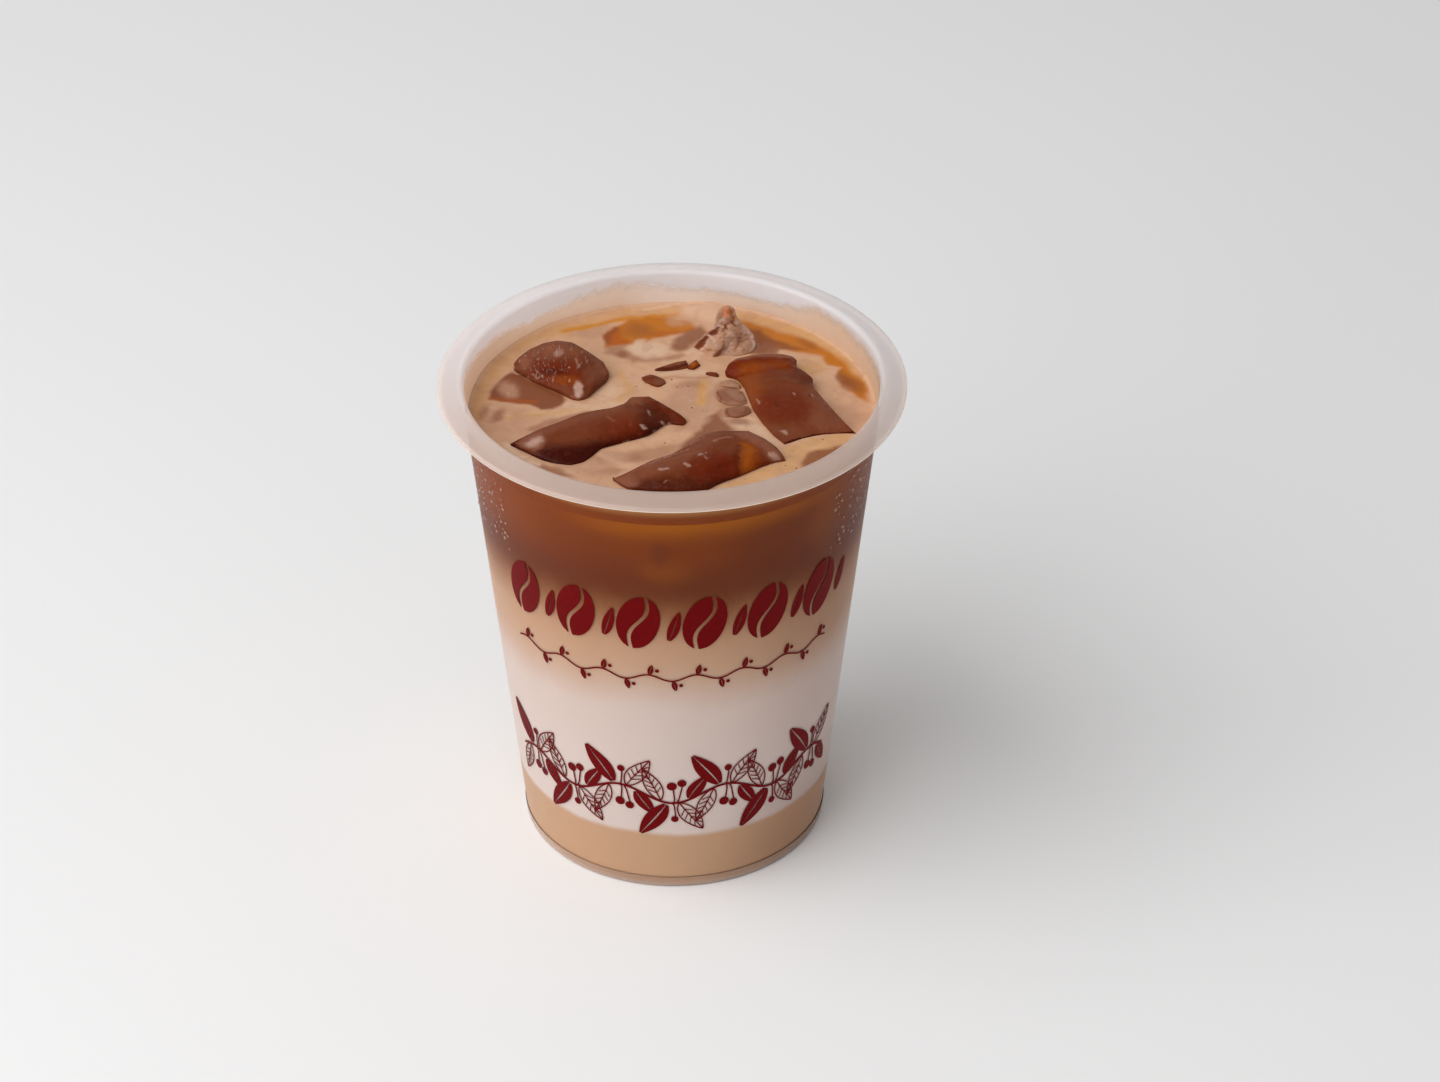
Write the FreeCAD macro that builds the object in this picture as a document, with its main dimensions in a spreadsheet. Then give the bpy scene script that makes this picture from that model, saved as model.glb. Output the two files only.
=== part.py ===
# Iced latte in a frosted plastic cup, as a parametric FreeCAD document.
#
# The cup is one moulded piece: a thin tapered wall, a foot ring round a recessed base, and a flange
# that slopes down to a skirt and is hollow underneath. Four layers of drink fill it to a level below
# the flange. Each is a solid of its own that seats on the one beneath and on the wall. Five blocks
# of ice float in the top layer, which is cut round them. Z is up, the origin is the centre of the
# foot, and the sizes are millimetres and degrees.
import FreeCAD, Part
import math
import os

import Sketcher

SHEET = "Dims"

# Alias, value and meaning of every driving size.
CUP_SIZES = [
    ("rim_dia", 95.0, "outer diameter of the flange"),
    ("cup_height", 105.5, "foot to the lip, before it is rounded"),
    ("flange_width", 4.6, "how far the flange stands out from the wall"),
    ("base_dia", 63.0, "outer diameter of the wall at the foot"),
    ("wall", 0.8, "thickness of the wall, measured level"),
    ("flange_thick", 0.8, "thickness of the flange, measured upright"),
    ("flange_drop", 1.2, "fall of the flange from the lip to its edge"),
    ("skirt_height", 1.0, "height of the skirt round the flange"),
    ("skirt_thick", 0.9, "thickness of that skirt"),
    ("skirt_round", 0.5, "rounding at the top of the skirt"),
    ("lip_round", 1.0, "rounding of the lip inside the mouth"),
    ("under_round", 0.5, "fillet between wall and flange"),
    ("foot_width", 1.6, "width of the foot ring"),
    ("foot_recess", 0.7, "how far the base stands above the foot ring"),
    ("foot_round", 0.9, "rounding of the outer foot"),
    ("floor_thick", 1.1, "thickness of the base"),
    ("floor_round", 2.0, "fillet inside between wall and base"),
]
DRINK_SIZES = [
    ("headspace", 7.5, "lip to the level of the drink"),
    ("coffee_thick", 20.0, "coffee on top"),
    ("latte_thick", 26.0, "milk stained by coffee"),
    ("base_layer_thick", 12.7, "tan layer on the base, the milk fills what is left"),
    ("meniscus_rise", 0.7, "how far the drink climbs the wall"),
    ("meniscus_width", 1.1, "how far from the wall the climb starts"),
    ("ice_wall_gap", 0.6, "least gap between ice and wall"),
    ("ice_gap", 2.8, "gap between the front bar's end and the right bar"),
]
# Blocks of ice that lie on their side with a crowned back, above a plan with one slanted end.
# aside and slide are shares of the drink's radius: how far the bar's long axis passes from the
# cup's axis, and how far along it the bar's middle is.
BAR_FIELDS = [
    ("long", "length along the back"),
    ("wide", "width of the plan"),
    ("back", "radius of the crowned back"),
    ("rise", "height of the back above the drink"),
    ("deep", "depth below the drink"),
    ("slant", "set-back of the slanted end"),
    ("melt", "rounding of the plan's corners"),
    ("heading", "turn of the long axis from X"),
    ("lean", "fall of the far end"),
    ("aside", "offset of the long axis"),
    ("slide", "place along the long axis"),
]
BARS = {
    "ice_bar_left": (30.0, 13.5, 9.5, 2.8, 12.0, 5.5, 1.5, 34.5, 1.0, 0.02, -0.415),
    "ice_bar_right": (30.0, 15.5, 12.0, 2.6, 13.0, 3.0, 2.0, -68.0, 1.5, 0.574, 0.164),
    "ice_shard": (16.0, 10.5, 5.8, 4.4, 9.0, 3.5, 1.2, 55.0, -9.0, 0.19, 0.64),
}
FRONT_BAR = "ice_bar_front"
FRONT_BAR_SIZES = (31.0, 15.0, 11.0, 2.8, 10.0, 6.0, 1.5, 35.5, -1.0, -0.52)
STUB_SIZES = [
    ("stub_radius", 9.8, "radius of the tilted round block"),
    ("stub_rise", 5.0, "height of its top above the drink"),
    ("stub_deep", 15.0, "depth of its foot below the drink"),
    ("stub_dome", 1.6, "rise of its domed end"),
    ("stub_melt", 1.8, "rounding of its ends"),
    ("stub_core", 2.4, "radius of the hollow at its core"),
    ("stub_core_deep", 1.6, "depth of that hollow"),
    ("stub_lean", 9.0, "lean from upright"),
    ("stub_toward", 250.0, "turn from X of the way it leans"),
    ("stub_bearing", 153.2, "turn from X of the line from the cup's axis to it"),
    ("stub_out", 0.615, "share of the drink's radius along that line"),
]


def fill_sheet(doc):
    """Makes the sheet of driving sizes, one row each: alias, value, meaning."""
    sheet = doc.addObject("Spreadsheet::Sheet", SHEET)
    rows = CUP_SIZES + DRINK_SIZES + STUB_SIZES
    for bar, values in {**BARS, FRONT_BAR: FRONT_BAR_SIZES}.items():
        rows += [(f"{bar}_{field}", value, meaning)
                 for (field, meaning), value in zip(BAR_FIELDS, values)]
    for number, (alias, value, meaning) in enumerate(rows, start=1):
        sheet.set(f"A{number}", alias)
        sheet.set(f"B{number}", str(value))
        sheet.set(f"C{number}", meaning)
        sheet.setAlias(f"B{number}", alias)
    doc.recompute()
    return sheet


class Model:
    """The document, its sheet and the few operations that every sub-part is made with."""

    def __init__(self):
        self.doc = FreeCAD.newDocument("IcedLatte")
        self.sheet = fill_sheet(self.doc)

    def value(self, expression):
        """The number that an expression in aliases of the sheet gives."""
        found = self.sheet.evalExpression(expression)
        return float(getattr(found, "Value", found))

    def bound(self, expression):
        """The same expression, written so that another object can read it."""
        words = expression.replace("(", " ( ").replace(")", " ) ").split()
        aliases = {word for word in words if self.sheet.getCellFromAlias(word)}
        return " ".join(f"{SHEET}.{word}" if word in aliases else word for word in words)

    def body(self, label):
        """An empty body whose label names its node."""
        made = self.doc.addObject("PartDesign::Body", label)
        made.Label = label
        return made

    def outline(self, body, plane, corners):
        """A closed sketch of straight runs whose corners are bound to pairs of expressions."""
        sketch = body.newObject("Sketcher::SketchObject", "Outline")
        role = [feature for feature in body.Origin.OriginFeatures if feature.Role == plane]
        sketch.AttachmentSupport = (role[0], [""])
        sketch.MapMode = "FlatFace"
        spots = [FreeCAD.Vector(self.value(a), self.value(b), 0) for a, b in corners]
        for i, spot in enumerate(spots):
            sketch.addGeometry(Part.LineSegment(spot, spots[(i + 1) % len(spots)]))
        for i in range(len(spots)):
            following = (i + 1) % len(spots)
            sketch.addConstraint(Sketcher.Constraint("Coincident", i, 2, following, 1))
        for i, corner in enumerate(corners):
            for kind, expression in zip(("DistanceX", "DistanceY"), corner):
                size = self.value(expression)
                number = sketch.addConstraint(Sketcher.Constraint(kind, -1, 1, i, 1, size))
                sketch.setExpression(f"Constraints[{number}]", self.bound(expression))
        sketch.Visibility = False
        self.doc.recompute()
        return sketch

    def turn(self, body, corners):
        """Revolves a profile of (radius, height) pairs about Z."""
        sketch = self.outline(body, "XZ_Plane", corners)
        made = body.newObject("PartDesign::Revolution", "Turned")
        made.Profile = sketch
        made.ReferenceAxis = (sketch, ["V_Axis"])
        made.Angle = 360.0
        self.doc.recompute()

    def fillet(self, body, edges, size):
        """Fillets edges of the body's tip with a named size."""
        base = body.Tip
        made = body.newObject("PartDesign::Fillet", "Round")
        made.Base = (base, edges)
        made.setExpression("Radius", self.bound(size))
        self.doc.recompute()

    def fillet_rings(self, body, rings):
        """Fillets the ring at each (radius, height) with the size that goes with it."""
        for radius, height, size in rings:
            edges = ring_edges(body.Tip.Shape, self.value(radius), self.value(height))
            self.fillet(body, edges, size)


def ring_edges(shape, radius, height, slack=0.02):
    """Names of the circles of that radius about Z at that height."""
    names = []
    for number, edge in enumerate(shape.Edges, start=1):
        curve = edge.Curve
        if isinstance(curve, Part.Circle) and abs(curve.Radius - radius) < slack:
            if abs(curve.Center.z - height) < slack:
                names.append(f"Edge{number}")
    if not names:
        raise ValueError(f"no ring of radius {radius:.2f} at height {height:.2f}")
    return names


def upright_edges(shape):
    """Names of the straight edges along Z."""
    names = []
    for number, edge in enumerate(shape.Edges, start=1):
        if isinstance(edge.Curve, Part.Line) and abs(edge.Curve.Direction.z) > 0.99:
            names.append(f"Edge{number}")
    return names


# Heights that several pieces share, as expressions in the sheet's aliases.
UNDER_FLANGE = "cup_height - flange_thick"
SKIRT_TOP = "cup_height - flange_drop"
SKIRT_FOOT = "cup_height - flange_drop - skirt_height"
FLOOR_TOP = "foot_recess + floor_thick"
LEVEL = "cup_height - headspace"
COFFEE_FOOT = f"{LEVEL} - coffee_thick"
LATTE_FOOT = f"{COFFEE_FOOT} - latte_thick"
MILK_FOOT = f"{FLOOR_TOP} + base_layer_thick"


def outer_radius(height):
    """Radius of the wall's outside at a height."""
    widening = "( rim_dia / 2 - flange_width - base_dia / 2 )"
    return f"base_dia / 2 + {widening} * ( {height} ) / ( {UNDER_FLANGE} )"


def inner_radius(height):
    """Radius of the wall's inside at a height."""
    return f"{outer_radius(height)} - wall"


def make_cup(model):
    """The moulded cup: foot ring, recessed base, tapered wall and hollow flange."""
    body = model.body("cup")
    foot_inside = "base_dia / 2 - foot_width"
    skirt_inside = "rim_dia / 2 - skirt_thick"
    model.turn(body, [
        ("0", "foot_recess"),
        (foot_inside, "foot_recess"),
        (foot_inside, "0"),
        ("base_dia / 2", "0"),
        (outer_radius(UNDER_FLANGE), UNDER_FLANGE),
        (skirt_inside, f"{SKIRT_TOP} - flange_thick"),
        (skirt_inside, SKIRT_FOOT),
        ("rim_dia / 2", SKIRT_FOOT),
        ("rim_dia / 2", SKIRT_TOP),
        (inner_radius("cup_height"), "cup_height"),
        (inner_radius(FLOOR_TOP), FLOOR_TOP),
        ("0", FLOOR_TOP),
    ])
    model.fillet_rings(body, [
        ("base_dia / 2", "0", "foot_round"),
        (outer_radius(UNDER_FLANGE), UNDER_FLANGE, "under_round"),
        ("rim_dia / 2", SKIRT_TOP, "skirt_round"),
        (inner_radius("cup_height"), "cup_height", "lip_round"),
        (inner_radius(FLOOR_TOP), FLOOR_TOP, "floor_round"),
    ])
    return body


def make_layer(model, label, low, high):
    """A disc of drink that fills the cup from one height to another."""
    body = model.body(label)
    model.turn(body, [
        ("0", low),
        (inner_radius(low), low),
        (inner_radius(high), high),
        ("0", high),
    ])
    return body


def make_uncut_coffee(model):
    """The top layer before the ice is cut from it, with its edge climbing the wall."""
    body = model.body("coffee_uncut")
    climb = f"{LEVEL} + meniscus_rise"
    model.turn(body, [
        ("0", COFFEE_FOOT),
        (inner_radius(COFFEE_FOOT), COFFEE_FOOT),
        (inner_radius(climb), climb),
        (f"{inner_radius(LEVEL)} - meniscus_width", LEVEL),
        ("0", LEVEL),
    ])
    return body


def make_ice_room(model):
    """The room that ice may fill: the inside of the cup, less the gap at the wall."""
    body = model.body("ice_room")
    model.turn(body, [
        ("0", FLOOR_TOP),
        (f"{inner_radius(FLOOR_TOP)} - ice_wall_gap", FLOOR_TOP),
        (f"{inner_radius('cup_height')} - ice_wall_gap", "cup_height"),
        ("0", "cup_height"),
    ])
    return body


def bar_axes(model, name):
    """Unit vectors along a bar and to the side of it, level."""
    heading = math.radians(model.value(f"{name}_heading"))
    along = FreeCAD.Vector(math.cos(heading), math.sin(heading), 0)
    side = FreeCAD.Vector(-along.y, along.x, 0)
    return along, side


def bar_middle(model, name):
    """Where the middle of a bar lies on the level of the drink, from the cup's axis."""
    along, side = bar_axes(model, name)
    reach = model.value(inner_radius(LEVEL))
    slide = model.value(f"{name}_slide") * reach
    aside = model.value(f"{name}_aside") * reach
    return along * slide + side * aside


def front_bar_middle(model, neighbour):
    """The front bar's middle: its far end stops short of the neighbour's nearest corner."""
    along, side = bar_axes(model, FRONT_BAR)
    next_along, next_side = bar_axes(model, neighbour)
    half_long = model.value(f"{neighbour}_long / 2")
    half_wide = model.value(f"{neighbour}_wide / 2")
    middle = bar_middle(model, neighbour)
    corner = middle + next_along * half_long - next_side * half_wide
    slide = corner.dot(along) - model.value(f"ice_gap + {FRONT_BAR}_long / 2")
    aside = model.value(f"{FRONT_BAR}_aside") * model.value(inner_radius(LEVEL))
    return along * slide + side * aside


def make_bar(model, name, middle, room):
    """A block of ice on its side: a plan with a slanted end under a lying cylinder's back."""
    plan = model.body(f"{name}_plan")
    half_long = f"{name}_long / 2"
    half_wide = f"{name}_wide / 2"
    sketch = model.outline(plan, "XY_Plane", [
        (f"{name}_slant - {half_long}", f"0 - {half_wide}"),
        (half_long, f"0 - {half_wide}"),
        (f"{half_long} - {name}_slant / 3", half_wide),
        (f"0 - {half_long}", half_wide),
    ])
    block = plan.newObject("PartDesign::Pad", "Block")
    block.Profile = sketch
    block.setExpression("Length", model.bound(f"{name}_rise + {name}_deep"))
    model.doc.recompute()
    model.fillet(plan, upright_edges(plan.Tip.Shape), f"{name}_melt")

    back = model.doc.addObject("Part::Cylinder", f"{name}_back")
    back.setExpression("Radius", model.bound(f"{name}_back"))
    back.setExpression("Height", model.bound(f"{name}_long * 2"))

    level = FreeCAD.Vector(middle.x, middle.y, model.value(LEVEL))
    turned = FreeCAD.Rotation(FreeCAD.Vector(0, 0, 1), model.value(f"{name}_heading"))
    leaned = FreeCAD.Rotation(FreeCAD.Vector(0, 1, 0), model.value(f"{name}_lean"))
    seat = FreeCAD.Placement(level, turned.multiply(leaned))
    foot = FreeCAD.Vector(0, 0, -model.value(f"{name}_deep"))
    plan.Placement = seat.multiply(FreeCAD.Placement(foot, FreeCAD.Rotation()))
    low = model.value(f"{name}_rise - {name}_back")
    start = FreeCAD.Vector(-model.value(f"{name}_long"), 0, low)
    lying = FreeCAD.Rotation(FreeCAD.Vector(0, 1, 0), 90)
    back.Placement = seat.multiply(FreeCAD.Placement(start, lying))
    return trim_ice(model, name, [plan, back, room])


def make_stub(model, room):
    """A round block of ice that stands tilted, with a domed end and a hollow core."""
    body = model.body("ice_stub_whole")
    shoulder = "stub_rise - stub_dome"
    foot = "0 - stub_deep"
    model.turn(body, [
        ("0", foot),
        ("stub_radius", foot),
        ("stub_radius", shoulder),
        ("stub_core", "stub_rise"),
        ("0", "stub_rise - stub_core_deep"),
    ])
    model.fillet_rings(body, [
        ("stub_radius", shoulder, "stub_melt"),
        ("stub_radius", foot, "stub_melt"),
    ])
    toward = math.radians(model.value("stub_toward"))
    hinge = FreeCAD.Vector(-math.sin(toward), math.cos(toward), 0)
    bearing = math.radians(model.value("stub_bearing"))
    out = model.value("stub_out") * model.value(inner_radius(LEVEL))
    spot = FreeCAD.Vector(out * math.cos(bearing), out * math.sin(bearing), model.value(LEVEL))
    leaned = FreeCAD.Rotation(hinge, model.value("stub_lean"))
    body.Placement = FreeCAD.Placement(spot, leaned)
    return trim_ice(model, "ice_stub", [body, room])


def trim_ice(model, name, shapes):
    """The common part of a block's shapes and the room for ice."""
    ice = model.doc.addObject("Part::MultiCommon", name)
    ice.Label = name
    ice.Shapes = shapes
    model.doc.recompute()
    return ice


def make_ice(model):
    """All the ice: four bars on their side and the round block."""
    room = make_ice_room(model)
    ice = [make_bar(model, name, bar_middle(model, name), room) for name in BARS]
    ice.append(make_bar(model, FRONT_BAR, front_bar_middle(model, "ice_bar_right"), room))
    ice.append(make_stub(model, room))
    return ice


def cut_round(model, name, layer, ice):
    """A layer of drink with the ice cut out of it."""
    cut = model.doc.addObject("Part::Cut", name)
    cut.Label = name
    cut.Base = layer
    cut.Tool = ice
    model.doc.recompute()
    return cut


def make_drink(model, ice):
    """The four layers from the base up. Ice may reach into the latte when the coffee is thin."""
    afloat = model.doc.addObject("Part::Compound", "ice_afloat")
    afloat.Links = ice
    base = make_layer(model, "base_layer", FLOOR_TOP, MILK_FOOT)
    model.fillet_rings(base, [(inner_radius(FLOOR_TOP), FLOOR_TOP, "floor_round")])
    milk = make_layer(model, "milk_layer", MILK_FOOT, LATTE_FOOT)
    latte = make_layer(model, "latte_uncut", LATTE_FOOT, COFFEE_FOOT)
    coffee = make_uncut_coffee(model)
    return [
        base,
        milk,
        cut_round(model, "latte_layer", latte, afloat),
        cut_round(model, "coffee_layer", coffee, afloat),
    ]


def check(doc, pieces):
    """Stops the build if a feature failed or a piece is not one valid solid."""
    for item in doc.Objects:
        if "Invalid" in item.State or "Error" in item.State:
            raise RuntimeError(f"{item.Label} failed: {item.State}")
    for piece in pieces:
        shape = piece.Shape
        if shape.isNull() or not shape.isValid() or len(shape.Solids) != 1:
            raise RuntimeError(f"{piece.Label} is not one valid solid")


def main():
    model = Model()
    cup = make_cup(model)
    ice = make_ice(model)
    pieces = [cup] + ice + make_drink(model, ice)
    model.doc.recompute()
    check(model.doc, pieces)
    os.makedirs("parts", exist_ok=True)
    for piece in pieces:
        piece.Shape.exportStep(f"parts/{piece.Label}.step")
        print(f"{piece.Label}: {piece.Shape.Volume / 1000:.2f} cm3")


main()
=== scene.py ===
import math

import bmesh
import bpy
import numpy as np
from bpy.props import FloatProperty, FloatVectorProperty, IntProperty, PointerProperty
from mathutils import Matrix, Vector, noise


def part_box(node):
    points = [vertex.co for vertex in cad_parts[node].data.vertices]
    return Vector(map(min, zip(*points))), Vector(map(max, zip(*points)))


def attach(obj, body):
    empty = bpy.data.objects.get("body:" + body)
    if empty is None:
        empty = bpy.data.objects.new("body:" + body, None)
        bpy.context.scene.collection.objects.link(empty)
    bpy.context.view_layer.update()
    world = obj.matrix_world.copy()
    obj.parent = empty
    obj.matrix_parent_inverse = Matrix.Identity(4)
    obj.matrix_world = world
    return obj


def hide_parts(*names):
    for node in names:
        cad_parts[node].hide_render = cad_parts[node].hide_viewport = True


bl_info = {
    "name": "Iced Latte",
    "version": (1, 0, 0),
    "blender": (4, 5, 0),
    "location": "View3D > Sidebar > Iced Latte",
    "description": "Builds an iced latte in a frosted plastic cup round its packed model",
    "category": "Object",
}

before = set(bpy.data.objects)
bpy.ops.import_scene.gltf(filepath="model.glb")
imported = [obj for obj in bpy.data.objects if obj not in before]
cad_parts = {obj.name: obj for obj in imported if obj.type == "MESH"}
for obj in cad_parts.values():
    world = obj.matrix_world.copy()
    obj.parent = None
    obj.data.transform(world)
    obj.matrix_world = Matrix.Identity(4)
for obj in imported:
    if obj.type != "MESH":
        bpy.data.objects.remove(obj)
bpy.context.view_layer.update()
MM = 0.001
BLACK = (0.0, 0.0, 0.0, 1.0)
NOISE_SEED = 1  # without it, vector noise is drawn from the clock when Blender starts

# ---------------------------------------------------------------------------------------------
# Sizes, in millimetres. Those that the frame gives are read from it.
# ---------------------------------------------------------------------------------------------


def node_radius(node):
    """Half the width of a round node, in millimetres."""
    low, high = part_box(node)
    return (high[0] - low[0]) / 2 / MM


def node_top(node):
    """Height of a node's top, in millimetres."""
    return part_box(node)[1][2] / MM


RIM_RADIUS = node_radius("cup")
FLOOR_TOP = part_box("base_layer")[0][2] / MM
BASE_TOP = node_top("base_layer")
MILK_TOP = node_top("milk_layer")
LATTE_TOP = node_top("latte_layer")
CLIMB_TOP = node_top("coffee_layer")
MENISCUS_RISE = 0.7
LEVEL = CLIMB_TOP - MENISCUS_RISE
INNER_SLOPE = (node_radius("coffee_layer") - node_radius("milk_layer")) / (CLIMB_TOP - MILK_TOP)
WALL = 0.8
FOOT_RADIUS = RIM_RADIUS - 16.0
FOOT_RING = 1.6  # breadth of the ring that the cup stands on
RECESS = 0.7  # how far the base stands off the floor within the ring
FLANGE_THICK = 0.8
FLANGE_DROP = 1.2  # how far the flange falls from the lip to its edge
SKIRT_HEIGHT = 1.0
SKIRT_THICK = 0.9
LIP_CORNER = 0.224  # how far the lip's corner would stand over its rounding
LIP_HEIGHT = node_top("cup") + LIP_CORNER
SKIRT_TOP = LIP_HEIGHT - FLANGE_DROP
SKIRT_FOOT = SKIRT_TOP - SKIRT_HEIGHT
BITE = 0.6  # how far the drink reaches into the wall
BODY_TOP = LEVEL - 1.2  # where the body of the drink ends under its surface


def inner_radius(height):
    """Radius of the wall's inside at a height, both in millimetres."""
    return node_radius("milk_layer") + INNER_SLOPE * (height - MILK_TOP)


def outer_radius(height):
    """Radius of the wall's outside at a height, both in millimetres."""
    return inner_radius(height) + WALL


def srgb(red, green, blue):
    """A linear colour with alpha from eight-bit screen values."""
    def channel(value):
        part = value / 255
        return part / 12.92 if part <= 0.04045 else ((part + 0.055) / 1.055) ** 2.4
    return (channel(red), channel(green), channel(blue), 1.0)


# ---------------------------------------------------------------------------------------------
# Properties
# ---------------------------------------------------------------------------------------------


def colour_property(name, description, red, green, blue):
    """A colour that the panel shows, from eight-bit screen values."""
    return FloatVectorProperty(name=name, description=description, subtype="COLOR", size=4,
                               min=0.0, max=1.0, default=srgb(red, green, blue))


class CupLook(bpy.types.PropertyGroup):
    """Finish of the moulded cup."""
    plastic: colour_property("Plastic", "Colour of the frosted plastic at the back", 238, 229, 230)
    # Warmed paints shade on the front of the plastic.
    warmed: colour_property("Warmed", "Plastic in front, lit by the coffee", 197, 175, 165)
    edge: colour_property("Edge", "Colour of the light that gathers in the skirt's edge",
                          250, 232, 218)
    foot: colour_property("Foot", "Plastic of the foot, lit by the drink", 182, 144, 117)
    dim: colour_property("Dim", "Plastic of the foot turned from the light", 60, 42, 34)
    haze: FloatProperty(name="Haze", description="How much the wall veils the drink",
                        default=0.015, min=0.0, max=1.0, subtype="FACTOR")
    dry_haze: FloatProperty(name="Dry haze",
                            description="How much a face hides with no drink behind",
                            default=0.64, min=0.0, max=1.0, subtype="FACTOR")
    segments: IntProperty(name="Segments", description="Facets round the cup", default=256, min=32)


class DrinkLook(bpy.types.PropertyGroup):
    """Colours of the drink, from the base up, and of its surface."""
    base: colour_property("Base", "Tan layer on the base", 199, 158, 125)
    milk: colour_property("Milk", "Milk", 220, 202, 194)
    stained: colour_property("Stained", "Milk with a little coffee in it", 198, 156, 126)
    latte: colour_property("Latte", "Milk and coffee under the coffee", 150, 96, 58)
    # Shade is also the colour that the painted shade on the drink's side darkens towards.
    shade: colour_property("Shade", "Coffee over the latte", 104, 44, 14)
    coffee: colour_property("Coffee", "Coffee with light in it", 132, 58, 8)
    cream: colour_property("Cream", "Surface where milk and coffee have mixed", 212, 164, 130)
    sand: colour_property("Sand", "Browner parts of the surface", 190, 142, 113)
    # Pale also paints a highlight by the left bar's front-left end.
    pale: colour_property("Pale", "White swirls of milk", 219, 181, 151)
    # Straw also lightens the top of the climb at the wall as painted light.
    straw: colour_property("Straw", "Yellower streaks", 210, 158, 98)
    honey: colour_property("Honey", "Coffee so thin that light comes through", 202, 128, 34)
    # Amber is also the painted glow near the top of the drink's side.
    amber: colour_property("Amber", "Clear coffee on the surface", 191, 109, 8)
    rust: colour_property("Rust", "Deeper coffee on the surface", 176, 82, 16)
    # Brown is also laid as painted shade behind the left bar on the surface.
    brown: colour_property("Brown", "Ice just under the surface", 132, 70, 40)
    film: colour_property("Film", "Film of drink left on the wall", 230, 209, 191)


class IceLook(bpy.types.PropertyGroup):
    """Colours of the ice."""
    body: colour_property("Body", "Ice with coffee behind it", 114, 54, 28)
    deep: colour_property("Deep", "Coffee seen deep in the ice", 60, 6, 0)
    red: colour_property("Red", "Coffee lit from within", 106, 28, 0)
    # Veil also paints the reflection of the bright surroundings on the tops of the blocks: painted
    # reflection.
    veil: colour_property("Veil", "Milky ice", 138, 84, 62)
    glow: colour_property("Glow", "Amber light in the ice", 160, 78, 4)
    clear: colour_property("Clear", "Ice with milk behind it", 184, 138, 110)
    # Frost also paints highlights along the shard's ridges.
    frost: colour_property("Frost", "Crystals and cracks", 200, 162, 146)
    rosy: colour_property("Rosy", "Thin tip with light in it", 202, 118, 74)


class PrintLook(bpy.types.PropertyGroup):
    """The printed design."""
    ink: colour_property("Ink", "Printing ink", 108, 4, 8)
    lift: FloatProperty(name="Lift", description="How far the ink stands off the wall",
                        default=0.04 * MM, min=0.0, max=0.3 * MM, unit="LENGTH")
    beans: IntProperty(name="Beans", description="Beans in the bold row", default=6, min=1)
    bean_gap: FloatProperty(name="Bean gap", description="From one bean to the next",
                            default=13.6 * MM, min=8 * MM, unit="LENGTH")
    bean_height: FloatProperty(name="Bean height", description="Height of the bold row",
                               default=71.5 * MM, unit="LENGTH")
    waves: IntProperty(name="Waves", description="Waves in the thin line", default=15, min=1)
    sprigs: IntProperty(name="Sprigs", description="Arches of the garland", default=7, min=1)
    sprig_height: FloatProperty(name="Garland height", description="Height of the garland",
                                default=25.5 * MM, unit="LENGTH")


class StageLook(bpy.types.PropertyGroup):
    """Floor, light and camera."""
    floor: colour_property("Floor", "Colour of the floor", 246, 246, 246)
    world: FloatProperty(name="World", description="Strength of the light from all round",
                         default=0.39, min=0.0)
    key: FloatProperty(name="Key", description="Power of the large lamp on the left, in watts",
                       default=12.2, min=0.0, unit="POWER")
    lens: FloatProperty(name="Lens", description="Focal length of the camera, in millimetres",
                        default=125.0, min=1.0)


# ---------------------------------------------------------------------------------------------
# Node trees
# ---------------------------------------------------------------------------------------------


class Socket:
    """An output of a node. Arithmetic on it adds Math nodes to the same tree."""

    def __init__(self, paint, socket):
        self.paint = paint
        self.socket = socket

    def __add__(self, other):
        return self.paint.math("ADD", self, other)

    def __sub__(self, other):
        return self.paint.math("SUBTRACT", self, other)

    def __rsub__(self, other):
        return self.paint.math("SUBTRACT", other, self)

    def __mul__(self, other):
        return self.paint.math("MULTIPLY", self, other)

    def __truediv__(self, other):
        return self.paint.math("DIVIDE", self, other)

    def __pow__(self, power):
        return self.paint.math("POWER", self, power)

    def __abs__(self):
        return self.paint.math("ABSOLUTE", self)

    __radd__ = __add__
    __rmul__ = __mul__


class Paint:
    """A node tree and the few nodes that every finish or shape rule is made with."""

    def __init__(self, tree):
        self.tree = tree

    def node(self, kind, settings=None, inputs=None):
        """Adds a node, with its settings first and then values or links for its inputs."""
        made = self.tree.nodes.new(kind)
        for name, value in (settings or {}).items():
            setattr(made, name, value)
        for key, value in (inputs or {}).items():
            self.feed(made.inputs[key], value)
        return made

    def feed(self, socket, value):
        """Links a socket to an input, or sets its value."""
        if isinstance(value, Socket):
            self.tree.links.new(value.socket, socket)
        else:
            socket.default_value = value

    def out(self, node, key=0):
        """An output of a node, ready for arithmetic."""
        return Socket(self, node.outputs[key])

    def math(self, operation, *values):
        """Arithmetic on values."""
        settings = {"operation": operation}
        return self.out(self.node("ShaderNodeMath", settings, dict(enumerate(values))))

    def stretched(self, vector, *shares):
        """A vector whose three parts are multiplied by these."""
        return self.out(self.node("ShaderNodeVectorMath", {"operation": "MULTIPLY"},
                                  {0: vector, 1: shares}))

    def split(self, vector):
        """The three parts of a vector."""
        made = self.node("ShaderNodeSeparateXYZ", inputs={0: vector})
        return [self.out(made, axis) for axis in range(3)]

    def join(self, x, y, z):
        """A vector of three parts."""
        return self.out(self.node("ShaderNodeCombineXYZ", inputs={0: x, 1: y, 2: z}))


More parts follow.
